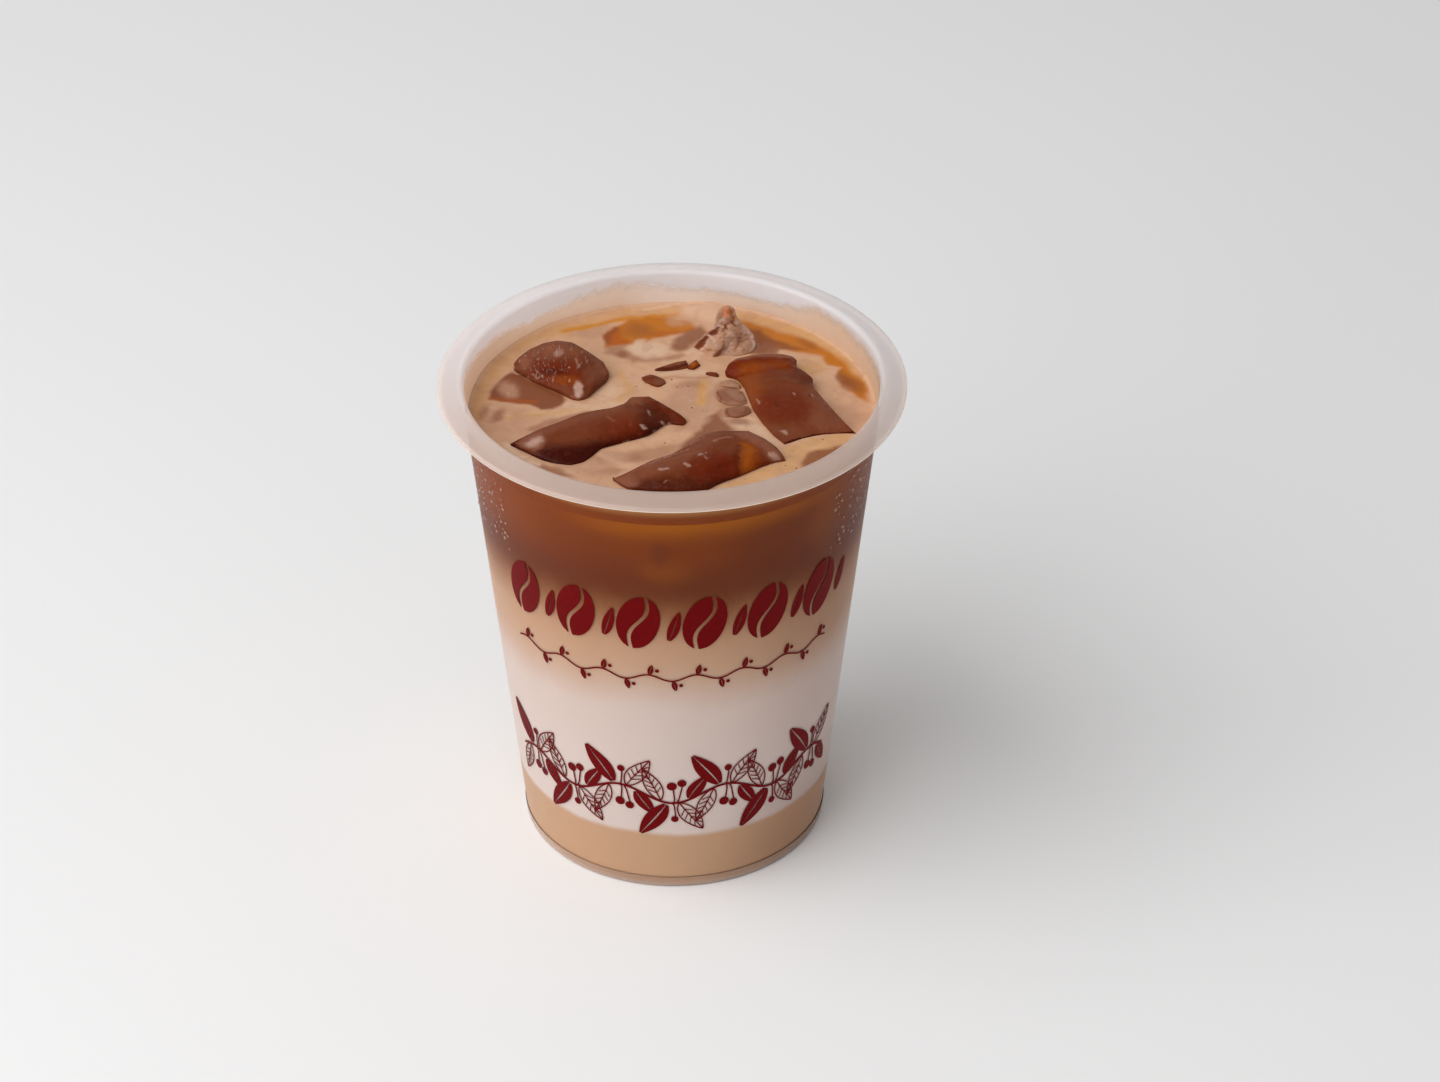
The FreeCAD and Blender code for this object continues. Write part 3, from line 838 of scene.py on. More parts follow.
BLOCKS = {
    "wet_left": Block(
        node="ice_bar_left",
        front=[(-26, -19.7), (-23.4, -21), (-20, -21.7), (-17.4, -20.6), (-15.6, -18),
               (-14.2, -15.6), (-11, -14), (-8, -12.5), (-4.8, -10.8), (-3.2, -8.8), (-1.8, -6.9),
               (-0.4, -6.1), (0.9, -6.6), (2.3, -6.9)],
        right=[(3.1, -5.2, 0.5), (1.7, -2.8, 1.3), (-0.3, -0.6, 2.0), (-2.5, 1.8, 2.5)],
        back=[(-32.3, -13.8, 0.4), (-28.6, -10.2, 1.2), (-26.4, -8.3, 1.6), (-22, -5.3, 2.2),
              (-18.5, -2.6, 2.6), (-15, -1.2, 2.7), (-12.2, -0.5, 2.8), (-9.6, 1.2, 2.8),
              (-8.9, 2.4, 2.8), (-8.4, 3.7, 2.9), (-4.7, 3.9, 2.9)],
        left=[(-29, -17.1, 0.15)],
        crown=0.9, seed=3.0,
        marks=[
            ("area", "veil", [(-29, -10.5), (-22, -5), (-15, -1), (-9, 1), (-10, -1.5), (-17, -5),
                              (-24, -9.6), (-27, -12)], 3.0, 0.4),
            ("area", "deep", [(-25.5, -14.5), (-18, -14), (-10, -10), (-5, -7), (3, -7), (4, -12),
                              (-20, -24), (-29, -20)], 5.0, 0.95),
            ("area", "red", [(-14, -6.5), (-7, -3), (-5.5, -10), (-10, -13), (-15, -11)], 5.0, 0.6),
            ("area", "deep", [(-6.2, 1), (-3, 2), (2.4, -4.6), (2, -7), (-3.6, -9), (-6.6, -8)],
             3.0, 0.6),
            ("area", "red", [(-5, 3.4), (0, -1), (3, -5), (2.4, -7), (0, -6.2), (-1, -3),
                             (-4, 0.4)], 1.8, 0.45),
            ("area", "veil", [(-9, 1.4), (-8.4, 3.8), (-5.2, 4), (-6.6, 2), (-8, 0.6)], 1.0, 0.55),
            ("area", "veil", [(-31.2, -13.6), (-28.8, -11.2), (-26.4, -9.4), (-25.2, -12),
                              (-25.6, -15), (-27.4, -16.8), (-29.6, -15.2)], 1.2, 0.9),
            ("area", "frost", [(-29.4, -13.9), (-27.8, -12.2), (-26.2, -11.2), (-25.9, -12.8),
                               (-27.2, -14.9), (-28.6, -15.2)], 1.6, 0.8),
            # Painted shade: a dark line along the left end and front edge, where the bar meets the
            # drink.
            ("stroke", "deep", [(-32.3, -13.9), (-29, -17.2), (-26, -19.7), (-23, -21)],
             1.1, 0.7, 0.95),
            ("stroke", "deep", [(-32.2, -13.7), (-30, -11.6)], 0.7, 0.7, 0.8),
            ("stroke", "veil", [(-13, -3.8), (-11.8, -5.3)], 0.6, 0.7, 0.7),
            ("stroke", "frost", [(-6.0, -6.9), (-5.4, -8.1)], 0.7, 0.6, 0.7),
            ("stroke", "frost", [(-4.8, -1.5), (-4.5, -3.0)], 0.25, 0.5, 0.6),
            ("stroke", "frost", [(-2.3, -5.5), (-1.3, -6.9), (-0.6, -6.0)], 0.5, 0.6, 0.75),
            ("stroke", "frost", [(-3.5, -8.9), (-3.0, -9.9)], 0.4, 0.6, 0.6),
            ("stroke", "veil", [(-6.9, 1.9), (-6.2, 1.0)], 0.5, 0.8, 0.6),
            ("stroke", "frost", [(-9.6, -13.2), (-8.4, -12.5)], 0.2, 0.5, 0.4),
        ]),
    "wet_front": Block(
        node="ice_bar_front",
        front=[(-8.6, -30.4), (-4, -31.6), (2, -32), (7, -31), (9.5, -28.6), (14, -25.6),
               (18, -22.6), (20.5, -20.9), (22.8, -20.2)],
        right=[(22.3, -18.2, 0.9), (21, -15.2, 1.6), (18.6, -12, 2.2)],
        back=[(-11.6, -26.8, 0.4), (-9, -24.8, 1.3), (-4.5, -20.6, 2.2), (0.5, -17.4, 2.7),
              (4, -13.6, 2.8), (6.8, -10.2, 2.8), (10, -9.0, 2.8), (15.4, -9.2, 2.7)],
        left=[(-10.2, -28.8, 0.2)],
        crown=1.1, seed=9.0,
        marks=[
            ("area", "deep", [(-6, -27), (2, -26), (9, -21), (13.4, -19), (13.4, -27), (8, -33),
                              (-9, -33)], 4.0, 0.65),
            ("area", "red", [(4, -20), (9, -17), (13.6, -18), (13.4, -26), (6, -28), (3, -25)],
             3.4, 0.75),
            ("area", "veil", [(-9, -25), (-3, -20), (2, -17), (7, -10.5), (11, -9.5), (9, -13),
                              (3, -20), (-5, -27), (-10, -28)], 3.0, 0.42),
            ("area", "veil", [(12, -10), (16, -9), (20, -13), (23, -19.5), (20, -20.5),
                              (18.2, -16), (15, -12.6)], 1.8, 0.85),
            ("area", "glow", [(13.9, -13.6), (15.6, -14), (17, -16.4), (17.6, -20), (16.8, -23),
                              (13.9, -25.4)], 2.2, 0.8),
            ("spot", "red", (17.4, -20.6), (1.5, 3.4), 8, 1.2, 0.5),
            ("stroke", "deep", [(13.2, -15), (13.2, -25)], 0.7, 1.6, 0.5),
            ("area", "veil", [(-11.5, -26.8), (-8, -25), (-6, -28.5), (-8.5, -30.6)], 1.5, 0.7),
            ("stroke", "veil", [(-8, -24.4), (-3, -21), (2, -18.4), (6.4, -16.6)], 0.35, 0.7, 0.7),
            ("stroke", "frost", [(-5.6, -22), (-1, -18.8), (3.4, -16)], 0.12, 0.5, 0.5),
            ("stroke", "frost", [(-2.2, -19.6), (3, -14.6), (6.4, -11.6)], 0.1, 0.5, 0.45),
            ("stroke", "frost", [(5.4, -17.9), (6.8, -17.4)], 0.25, 0.4, 0.7),
            ("stroke", "frost", [(8, -13), (11, -11.4), (12.2, -11.6)], 0.15, 0.5, 0.5),
            ("stroke", "frost", [(2.7, -21.2), (3.4, -22.1)], 0.7, 0.6, 0.6),
            ("stroke", "frost", [(-2.2, -23.4), (-0.6, -23.2)], 0.6, 0.6, 0.6),
            ("stroke", "frost", [(-1.4, -28.4), (-1.0, -27.4)], 0.3, 0.5, 0.4),
            ("stroke", "frost", [(6.6, -18.6), (7.0, -19.4)], 0.25, 0.4, 0.5),
            ("spot", "frost", (20.4, -18.6), (0.8, 1.5), 20, 1.0, 0.5),
            ("stroke", "frost", [(19.2, -17), (19.6, -18.2)], 0.25, 0.4, 0.6),
            ("stroke", "frost", [(21.2, -18.8), (21.6, -20)], 0.3, 0.4, 0.6),
            ("spot", "veil", (-9.6, -27.6), (1.4, 1.1), 0, 1.2, 0.6),
        ]),
    "wet_right": Block(
        node="ice_bar_right",
        front=[(22.6, -13.9), (24, -13.2), (26, -11.9), (28.2, -10.9), (31, -10.2), (34, -9.9),
               (37, -9.9)],
        right=[(35.1, -6.5, 1.1), (33.2, -2.6, 1.6), (31, 2.2, 1.8), (29, 6.8, 1.9), (28.5, 9, 2.0),
               (28.7, 10.8, 2.0), (27.4, 13.0, 2.0), (25.4, 14.6, 2.1), (24.9, 16.2, 2.2)],
        back=[(10.7, 13.8, 0.8), (11.4, 16.6, 1.8), (13, 18.7, 2.5), (16, 19.9, 2.8),
              (19, 20.5, 2.8), (22.5, 20.4, 2.8), (24.6, 19.5, 2.5), (25.4, 18, 2.2)],
        left=[(20.4, -10.5, 0.2), (18.2, -6, 0.2), (16.4, -1, 0.2), (15.4, 3.6, 0.2),
              (14.6, 7.4, 0.2), (13.6, 10.2, 0.2), (12.2, 11.5, 0.3), (11.1, 12.3, 0.5)],
        crown=0.8, seed=14.0,
        marks=[
            ("area", "glow", [(13, 11.6), (17, 12.4), (19, 8), (18, 1), (16, -2), (14, 7)],
             4.0, 0.3),
            ("area", "red", [(18, 6), (26, 5.4), (28, 1), (27, -5), (20, -6), (16, -1)], 4.0, 0.6),
            ("area", "veil", [(29, 9), (33, 0), (37, -9), (30, -10), (27, -6), (29, 0), (27, 6)],
             4.0, 0.4),
            ("area", "veil", [(19, -7), (27, -8), (29, -11), (23, -13.4)], 3.0, 0.25),
            ("area", "deep", [(25.2, 14.4), (28.4, 11), (28.4, 8), (26, 9), (24, 12)], 2.4, 0.35),
            ("area", "red", [(10.5, 12.4), (11.5, 17), (14, 18.4), (19, 19), (24, 18.8),
                             (25.2, 15.2), (20, 13.6), (14, 11.8)], 1.0, 0.9),
            ("area", "glow", [(13.4, 12.6), (13.8, 16.6), (16, 17.4), (18.6, 16), (17, 12.8)],
             4.0, 0.5),
            ("area", "glow", [(17, 14), (18, 17.4), (22, 18), (24.4, 16.6), (23, 14.8)],
             4.0, 0.35),
            ("stroke", "veil", [(12.6, 18.2), (16, 19.5), (20, 20.0), (24, 19.2)], 1.0, 1.0, 0.85),
            # Painted shade: a dark line along the front edge, where the block meets the drink.
            ("stroke", "deep", [(22.8, -13.6), (26, -11.8), (29, -10.6), (36.5, -9.7)],
             0.8, 0.7, 0.95),
            ("stroke", "red", [(11.3, 12.4), (12.8, 11.6), (14, 12)], 0.8, 0.8, 0.8),
            ("stroke", "deep", [(25, 14.6), (27.4, 13), (28.6, 10.6), (28.5, 9)], 0.4, 0.7, 0.7),
            ("stroke", "frost", [(17.1, 2.8), (17.6, 1.4)], 0.35, 0.5, 0.45),
            ("stroke", "frost", [(22.3, -9.2), (23, -10)], 0.9, 0.6, 0.5),
            ("stroke", "frost", [(24.5, 5.3), (24.7, 4.5)], 0.35, 0.4, 0.55),
            ("stroke", "frost", [(28.2, 4.8), (28.5, 4.0)], 0.35, 0.4, 0.4),
            ("stroke", "frost", [(18.8, -10.6), (19.8, -10.2)], 0.4, 0.5, 0.45),
            ("stroke", "deep", [(20.8, 1.6), (21.4, 0.2)], 0.5, 0.7, 0.4),
            ("stroke", "deep", [(27.8, 4.6), (28.2, 3.8)], 0.5, 0.7, 0.5),
        ]),
    "wet_stub": Block(
        node="ice_stub",
        front=[(-31.4, 12.8), (-28.5, 9.8), (-25.5, 7.4), (-22.3, 5.0), (-20.5, 3.2), (-19, 2.7),
               (-17.2, 3.7), (-15, 7.6)],
        right=[(-13.4, 10.4, 0.5), (-12.9, 13.2, 1.1)],
        back=[(-31.6, 19.2, 2.0), (-29.5, 22.2, 3.0), (-26.5, 24.7, 3.8), (-23.6, 25.6, 4.2),
              (-20.6, 24.9, 4.0), (-17.4, 21.4, 3.2), (-14.2, 17.4, 2.2)],
        left=[(-32.6, 14.8, 0.6), (-32.6, 17, 1.3)],
        crown=1.1, rough=0.4, seed=21.0,
        marks=[
            ("area", "veil", [(-32, 15), (-30, 22), (-26, 25.6), (-21, 25.6), (-18, 21),
                              (-22, 20), (-28, 18)], 5.0, 0.6),
            ("area", "red", [(-28, 18), (-20, 17), (-17.6, 12), (-20, 8), (-26, 9), (-29, 12)],
             4.0, 0.75),
            ("spot", "deep", (-24.4, 13.2), (3.2, 1.6), -10, 1.2, 0.5),
            ("spot", "glow", (-22.0, 10.4), (2.8, 1.8), -10, 1.3, 0.4),
            ("area", "veil", [(-18, 21.6), (-14.5, 17), (-12.8, 12.6), (-14.4, 12), (-16.6, 18)],
             1.4, 0.45),
            ("spot", "frost", (-19.1, 6.6), (0.95, 3.2), 3, 0.5, 0.75),
            ("stroke", "veil", [(-20.3, 4.0), (-19, 3.0), (-17.6, 3.8)], 0.9, 0.8, 0.8),
            ("spot", "frost", (-23.3, 20.6), (0.7, 1.6), -12, 0.8, 0.35),
            ("spot", "veil", (-30.4, 17.0), (1.0, 2.4), 10, 1.0, 0.6),
            ("stroke", "frost", [(-28.6, 12.6), (-27.4, 10.8), (-26.8, 11.6)], 0.35, 0.6, 0.5),
            ("spot", "frost", (-21, 10.1), (0.15, 0.6), 0, 0.9, 0.8),
            ("stroke", "frost", [(-19.9, 18.6), (-19.6, 16.8), (-19, 15.4)], 0.25, 0.5, 0.5),
            ("spot", "veil", (-16, 12.4), (2.0, 3.4), -14, 1.3, 0.35),
        ],
        frost=[
            ("area", "dull", [(-33, 12), (-33, 20), (-28, 25), (-21, 25), (-17, 19), (-17.6, 14.4),
                              (-21, 12.6), (-24, 9.5), (-29, 9)], 2.4, 1.0),
        ]),
    "wet_shard": Block(
        node="ice_shard",
        front=[(4.3, 23.6), (6.2, 21.3), (8.4, 19.2), (10, 20.4), (12, 20), (14.4, 20.4),
               (16.4, 21.6)],
        right=[(17.1, 24.2, 0.6), (16.7, 28, 1.4), (15.2, 31.4, 2.4)],
        back=[(9.6, 38.0, 5.2), (10.4, 39.3, 5.4), (11.6, 39.5, 5.4), (12.7, 38.2, 4.9),
              (13.2, 34.2, 3.4)],
        left=[(5.1, 25.6, 1.3), (6.8, 28.8, 2.6), (8.3, 30.4, 3.7), (8.7, 33, 4.4), (8.9, 36, 5.0)],
        crown=0.4, rough=0.9, seed=33.0,
        marks=[
            ("lay", "clear", 1.0),
            ("area", "veil", [(12, 31), (12.6, 24), (14.4, 23), (15, 28), (14, 32)], 1.4, 0.35),
            # The frost strokes along the shard's ridges are painted highlights.
            ("stroke", "frost", [(16.6, 22), (16.9, 25), (16.1, 28.4), (14.4, 31.6)],
             0.9, 0.7, 0.9),
            ("stroke", "frost", [(10.8, 21.2), (11.8, 24.6), (11.9, 28.4)], 0.7, 0.6, 0.8),
            ("stroke", "veil", [(9.8, 21.6), (10.6, 24.6), (10.6, 28)], 0.5, 0.6, 0.8),
            ("area", "red", [(4.6, 23.6), (5.3, 25.6), (6.9, 28.2), (7.5, 27.4), (6.8, 25.2),
                             (6.4, 23.4), (5.6, 22.6)], 0.5, 0.85),
            ("area", "red", [(7.2, 28.3), (8.4, 30), (9.5, 29.6), (9.2, 28.4), (8.2, 27.9)],
             0.5, 0.9),
            ("stroke", "body", [(5.0, 23.4), (5.8, 25.4), (7.0, 27.4), (8.4, 29.4), (9.2, 31)],
             1.4, 0.5, 0.85),
            ("stroke", "deep", [(5.3, 24.4), (6.6, 26.6), (8.2, 29)], 0.6, 0.5, 0.4),
            ("stroke", "body", [(10.2, 29), (10.8, 31.6), (12.6, 33.4)], 0.5, 0.5, 0.8),
            ("stroke", "body", [(12.6, 22), (13.4, 25), (13.2, 28)], 0.4, 0.6, 0.5),
            ("stroke", "frost", [(7.0, 28.0), (8.0, 27.0), (8.6, 25.4), (8.9, 23.6)],
             0.55, 0.45, 1.0),
            ("stroke", "frost", [(5.9, 22.4), (6.9, 24), (7.2, 25.8)], 0.35, 0.4, 0.9),
            ("stroke", "frost", [(8.2, 30.4), (9.4, 31.6), (10.2, 31)], 0.5, 0.5, 0.9),
            ("area", "veil", [(9, 32.4), (9.4, 35), (10.2, 38), (11.8, 38), (12.2, 35),
                              (11.8, 32), (10.2, 31.6)], 0.7, 0.5),
            ("stroke", "frost", [(9.7, 33), (10.5, 34.8)], 0.8, 0.7, 0.7),
            ("area", "rosy", [(10.3, 35), (10.2, 38.2), (11.6, 38.8), (12.3, 36.6), (11.6, 34.8)],
             0.7, 0.7),
            ("stroke", "glow", [(12.1, 37), (12.3, 35), (12.5, 33.8)], 0.5, 0.5, 0.8),
            ("stroke", "red", [(12.1, 33.6), (12.7, 31.4)], 0.5, 0.5, 0.8),
            ("stroke", "red", [(10.7, 31.9), (11.2, 30.2)], 0.45, 0.5, 0.8),
            ("area", "body", [(8.1, 19.4), (8.4, 20.7), (9.6, 21.6), (10.2, 22.2), (10, 20.7),
                              (9, 19.5)], 0.6, 0.85),
        ]),
}

# Chips of ice and lumps under a film of milk, between the blocks.
CHIPS = [
    Block(
        front=[(-3.6, 14.3), (-1, 14.1), (1.6, 14.6), (3.2, 15.2)],
        right=[(3.1, 16.8, 0.4)],
        back=[(-3.5, 15, 0.15), (-1.6, 16.2, 0.5), (0.6, 17.5, 0.8), (2.7, 18.2, 0.7)],
        left=[(-3.8, 14.6, 0.1)],
        crown=0.3, rough=0.3, seed=41.0,
        marks=[("stroke", "deep", [(-3, 14.8), (-0.4, 15), (2.6, 16.4)], 1.0, 0.8, 0.7),
               ("stroke", "veil", [(-1.6, 15.9), (0.6, 17), (2.2, 17.5)], 0.5, 0.5, 0.6)]),
    Block(
        front=[(3.1, 14.9), (4.2, 14.4), (5.7, 16.2)],
        right=[(5.2, 17.4, 0.4)],
        back=[(3.2, 16.4, 0.3), (4, 17.6, 0.6), (4.8, 18.5, 0.6)],
        left=[(2.8, 15.6, 0.2)],
        crown=0.4, rough=0.3, seed=43.0,
        marks=[("lay", "red", 0.8),
               ("spot", "glow", (4.3, 16.5), (0.7, 1.2), -20, 1.0, 0.95)]),
    Block(
        front=[(-5.6, 10), (-4, 8.5), (-2.8, 7.8), (-1.4, 9.4)],
        right=[(-1.6, 10.6, 0.3)],
        back=[(-6.4, 11.6, 0.2), (-5.2, 12.4, 0.5), (-4.4, 12.8, 0.6), (-2.6, 11.6, 0.4)],
        left=[(-6.2, 10.8, 0.2)],
        crown=0.35, rough=0.3, seed=45.0,
        marks=[("stroke", "red", [(-5.6, 11), (-3.8, 11.8)], 1.0, 1.0, 0.6),
               ("spot", "veil", (-2.4, 9.6), (1.2, 1.4), 30, 1.2, 0.5)]),
    Block(
        front=[(6.8, 12.8), (8, 12.2), (9.3, 11.7)],
        right=[(9.5, 12.7, 0.2)],
        back=[(6.9, 13.6, 0.2), (7.8, 13.8, 0.3), (8.9, 13.5, 0.3)],
        left=[(6.7, 13.2, 0.15)],
        crown=0.3, rough=0.3, seed=47.0,
        marks=[("stroke", "red", [(7, 13), (9, 12.6)], 0.6, 0.7, 0.5)]),
    Block(
        front=[(9.4, 2.4), (11, 1), (13.4, 0.6), (15.2, 1.6)],
        right=[(14.9, 3.6, 0.3)],
        back=[(9, 6.4, 0.2), (10.4, 7.4, 0.5), (12.4, 7.2, 0.6), (14.2, 6, 0.4)],
        left=[(8.8, 4.2, 0.2)],
        crown=0.3, rough=0.6, seed=49.0,
        marks=[("lay", "clear", 1.0), ("lay", "body", 0.45),
               ("area", "veil", [(9, 5.6), (9.4, 3), (11, 1), (12, 3), (11, 5.6), (10, 6.6)],
                1.2, 0.6),
               ("stroke", "body", [(9.1, 5.8), (9.8, 3.8), (9.6, 2.4)], 0.5, 0.6, 0.7),
               ("stroke", "veil", [(12, 3.2), (13.6, 2), (14.8, 2.4)], 0.9, 0.8, 0.7),
               ("stroke", "body", [(13.6, 5.4), (14.3, 6.2)], 0.5, 0.5, 0.6)]),
    Block(
        front=[(10.9, -3.3), (13, -4), (14.8, -3.3), (16, -2)],
        right=[(15.9, -0.8, 0.3)],
        back=[(10.8, -0.4, 0.2), (12.6, 0.2, 0.4), (14, 0.4, 0.5), (15.3, 0.5, 0.4)],
        left=[(10.5, -2, 0.2)],
        crown=0.3, rough=0.6, seed=51.0,
        marks=[("lay", "clear", 0.9), ("lay", "body", 0.55),
               ("stroke", "body", [(11.2, -0.8), (11, -2.4), (12.4, -3.6), (14.4, -3.2),
                                   (15.6, -1.6)], 0.5, 0.7, 0.75),
               ("spot", "veil", (13.2, -1.8), (1.2, 0.9), 0, 1.0, 0.5),
               ("stroke", "body", [(14.6, -1.8), (15, -0.6)], 0.5, 0.5, 0.6)]),
    Block(
        front=[(10.2, 7.9), (12, 7.4), (13.8, 7)],
        right=[(14, 8.2, 0.3)],
        back=[(9.7, 9.6, 0.2), (11, 10.4, 0.4), (12.3, 10.5, 0.5), (13.3, 9.4, 0.4)],
        left=[(9.6, 8.6, 0.2)],
        crown=0.4, rough=0.4, seed=53.0,
        marks=[("lay", "clear", 1.0), ("lay", "body", 0.25)]),
]

ICE_TONES = ("body", "deep", "red", "veil", "glow", "clear", "frost", "rosy")


def wet_ice(look):
    """Ice with coffee behind it. The tones are laid one by one; cracks and crystals come on top."""
    paint = Finish("wet_ice", Roughness=0.2, IOR=1.31, Specular_IOR_Level=0.16)
    place = paint.place()
    cloud = paint.noise(place, 5.0, distortion=0.6)
    fine = paint.noise(place, 1.3, detail=4.0, roughness=0.6, distortion=0.5)
    colour = paint.tones(look, ICE_TONES)
    dull = paint.attribute("dull")
    crystal = paint.step(paint.noise(place, 0.34, detail=2.0), 0.68, 0.76)
    crystal = crystal * paint.step(cloud, 0.5, 0.66)
    colour = paint.mix(crystal * 0.4, colour, look.frost)
    smoke = paint.step(fine, 0.45, 0.75) * paint.step(cloud, 0.4, 0.6)
    colour = paint.mix(smoke * 0.16, colour, look.veil)
    streak = paint.stretched(place, 1.0, 0.34, 1.0)
    crackle = paint.noise(streak, 0.62, detail=4.0, roughness=0.68, distortion=0.5)
    crackle = paint.step(crackle, 0.54, 0.66) * dull
    colour = paint.mix(crackle * 0.5, colour, look.frost)
    paint.set("Base Color", colour)
    paint.set("Roughness", 0.16 + fine * 0.14 + dull * 0.25)
    paint.bump(fine + crystal * 0.3 + crackle * 0.5, 0.0002)
    return paint.material


class LATTE_OT_ice(bpy.types.Operator):
    """Makes the five blocks of ice that float in the coffee, and the chips between them"""
    bl_idname = "latte.ice"
    bl_label = "Ice"

    def execute(self, context):
        material = wet_ice(context.scene.latte_ice)
        for name, block in BLOCKS.items():
            points, faces, places = block.mesh()
            piece = make_piece(name, points, faces, material, attributes=block.shares(places))
            hand_over(piece, "ice", block.node)
        meshes = [chip.mesh() for chip in CHIPS]
        points, faces = joined([mesh[:2] for mesh in meshes])
        shares = [chip.shares(mesh[2]) for chip, mesh in zip(CHIPS, meshes)]
        shares = {key: np.concatenate([share[key] for share in shares]) for key in shares[0]}
        piece = make_piece("ice_chips", points, faces, material, attributes=shares)
        hand_over(piece, "ice")
        return {"FINISHED"}


# ---------------------------------------------------------------------------------------------
# Surface of the drink
# ---------------------------------------------------------------------------------------------

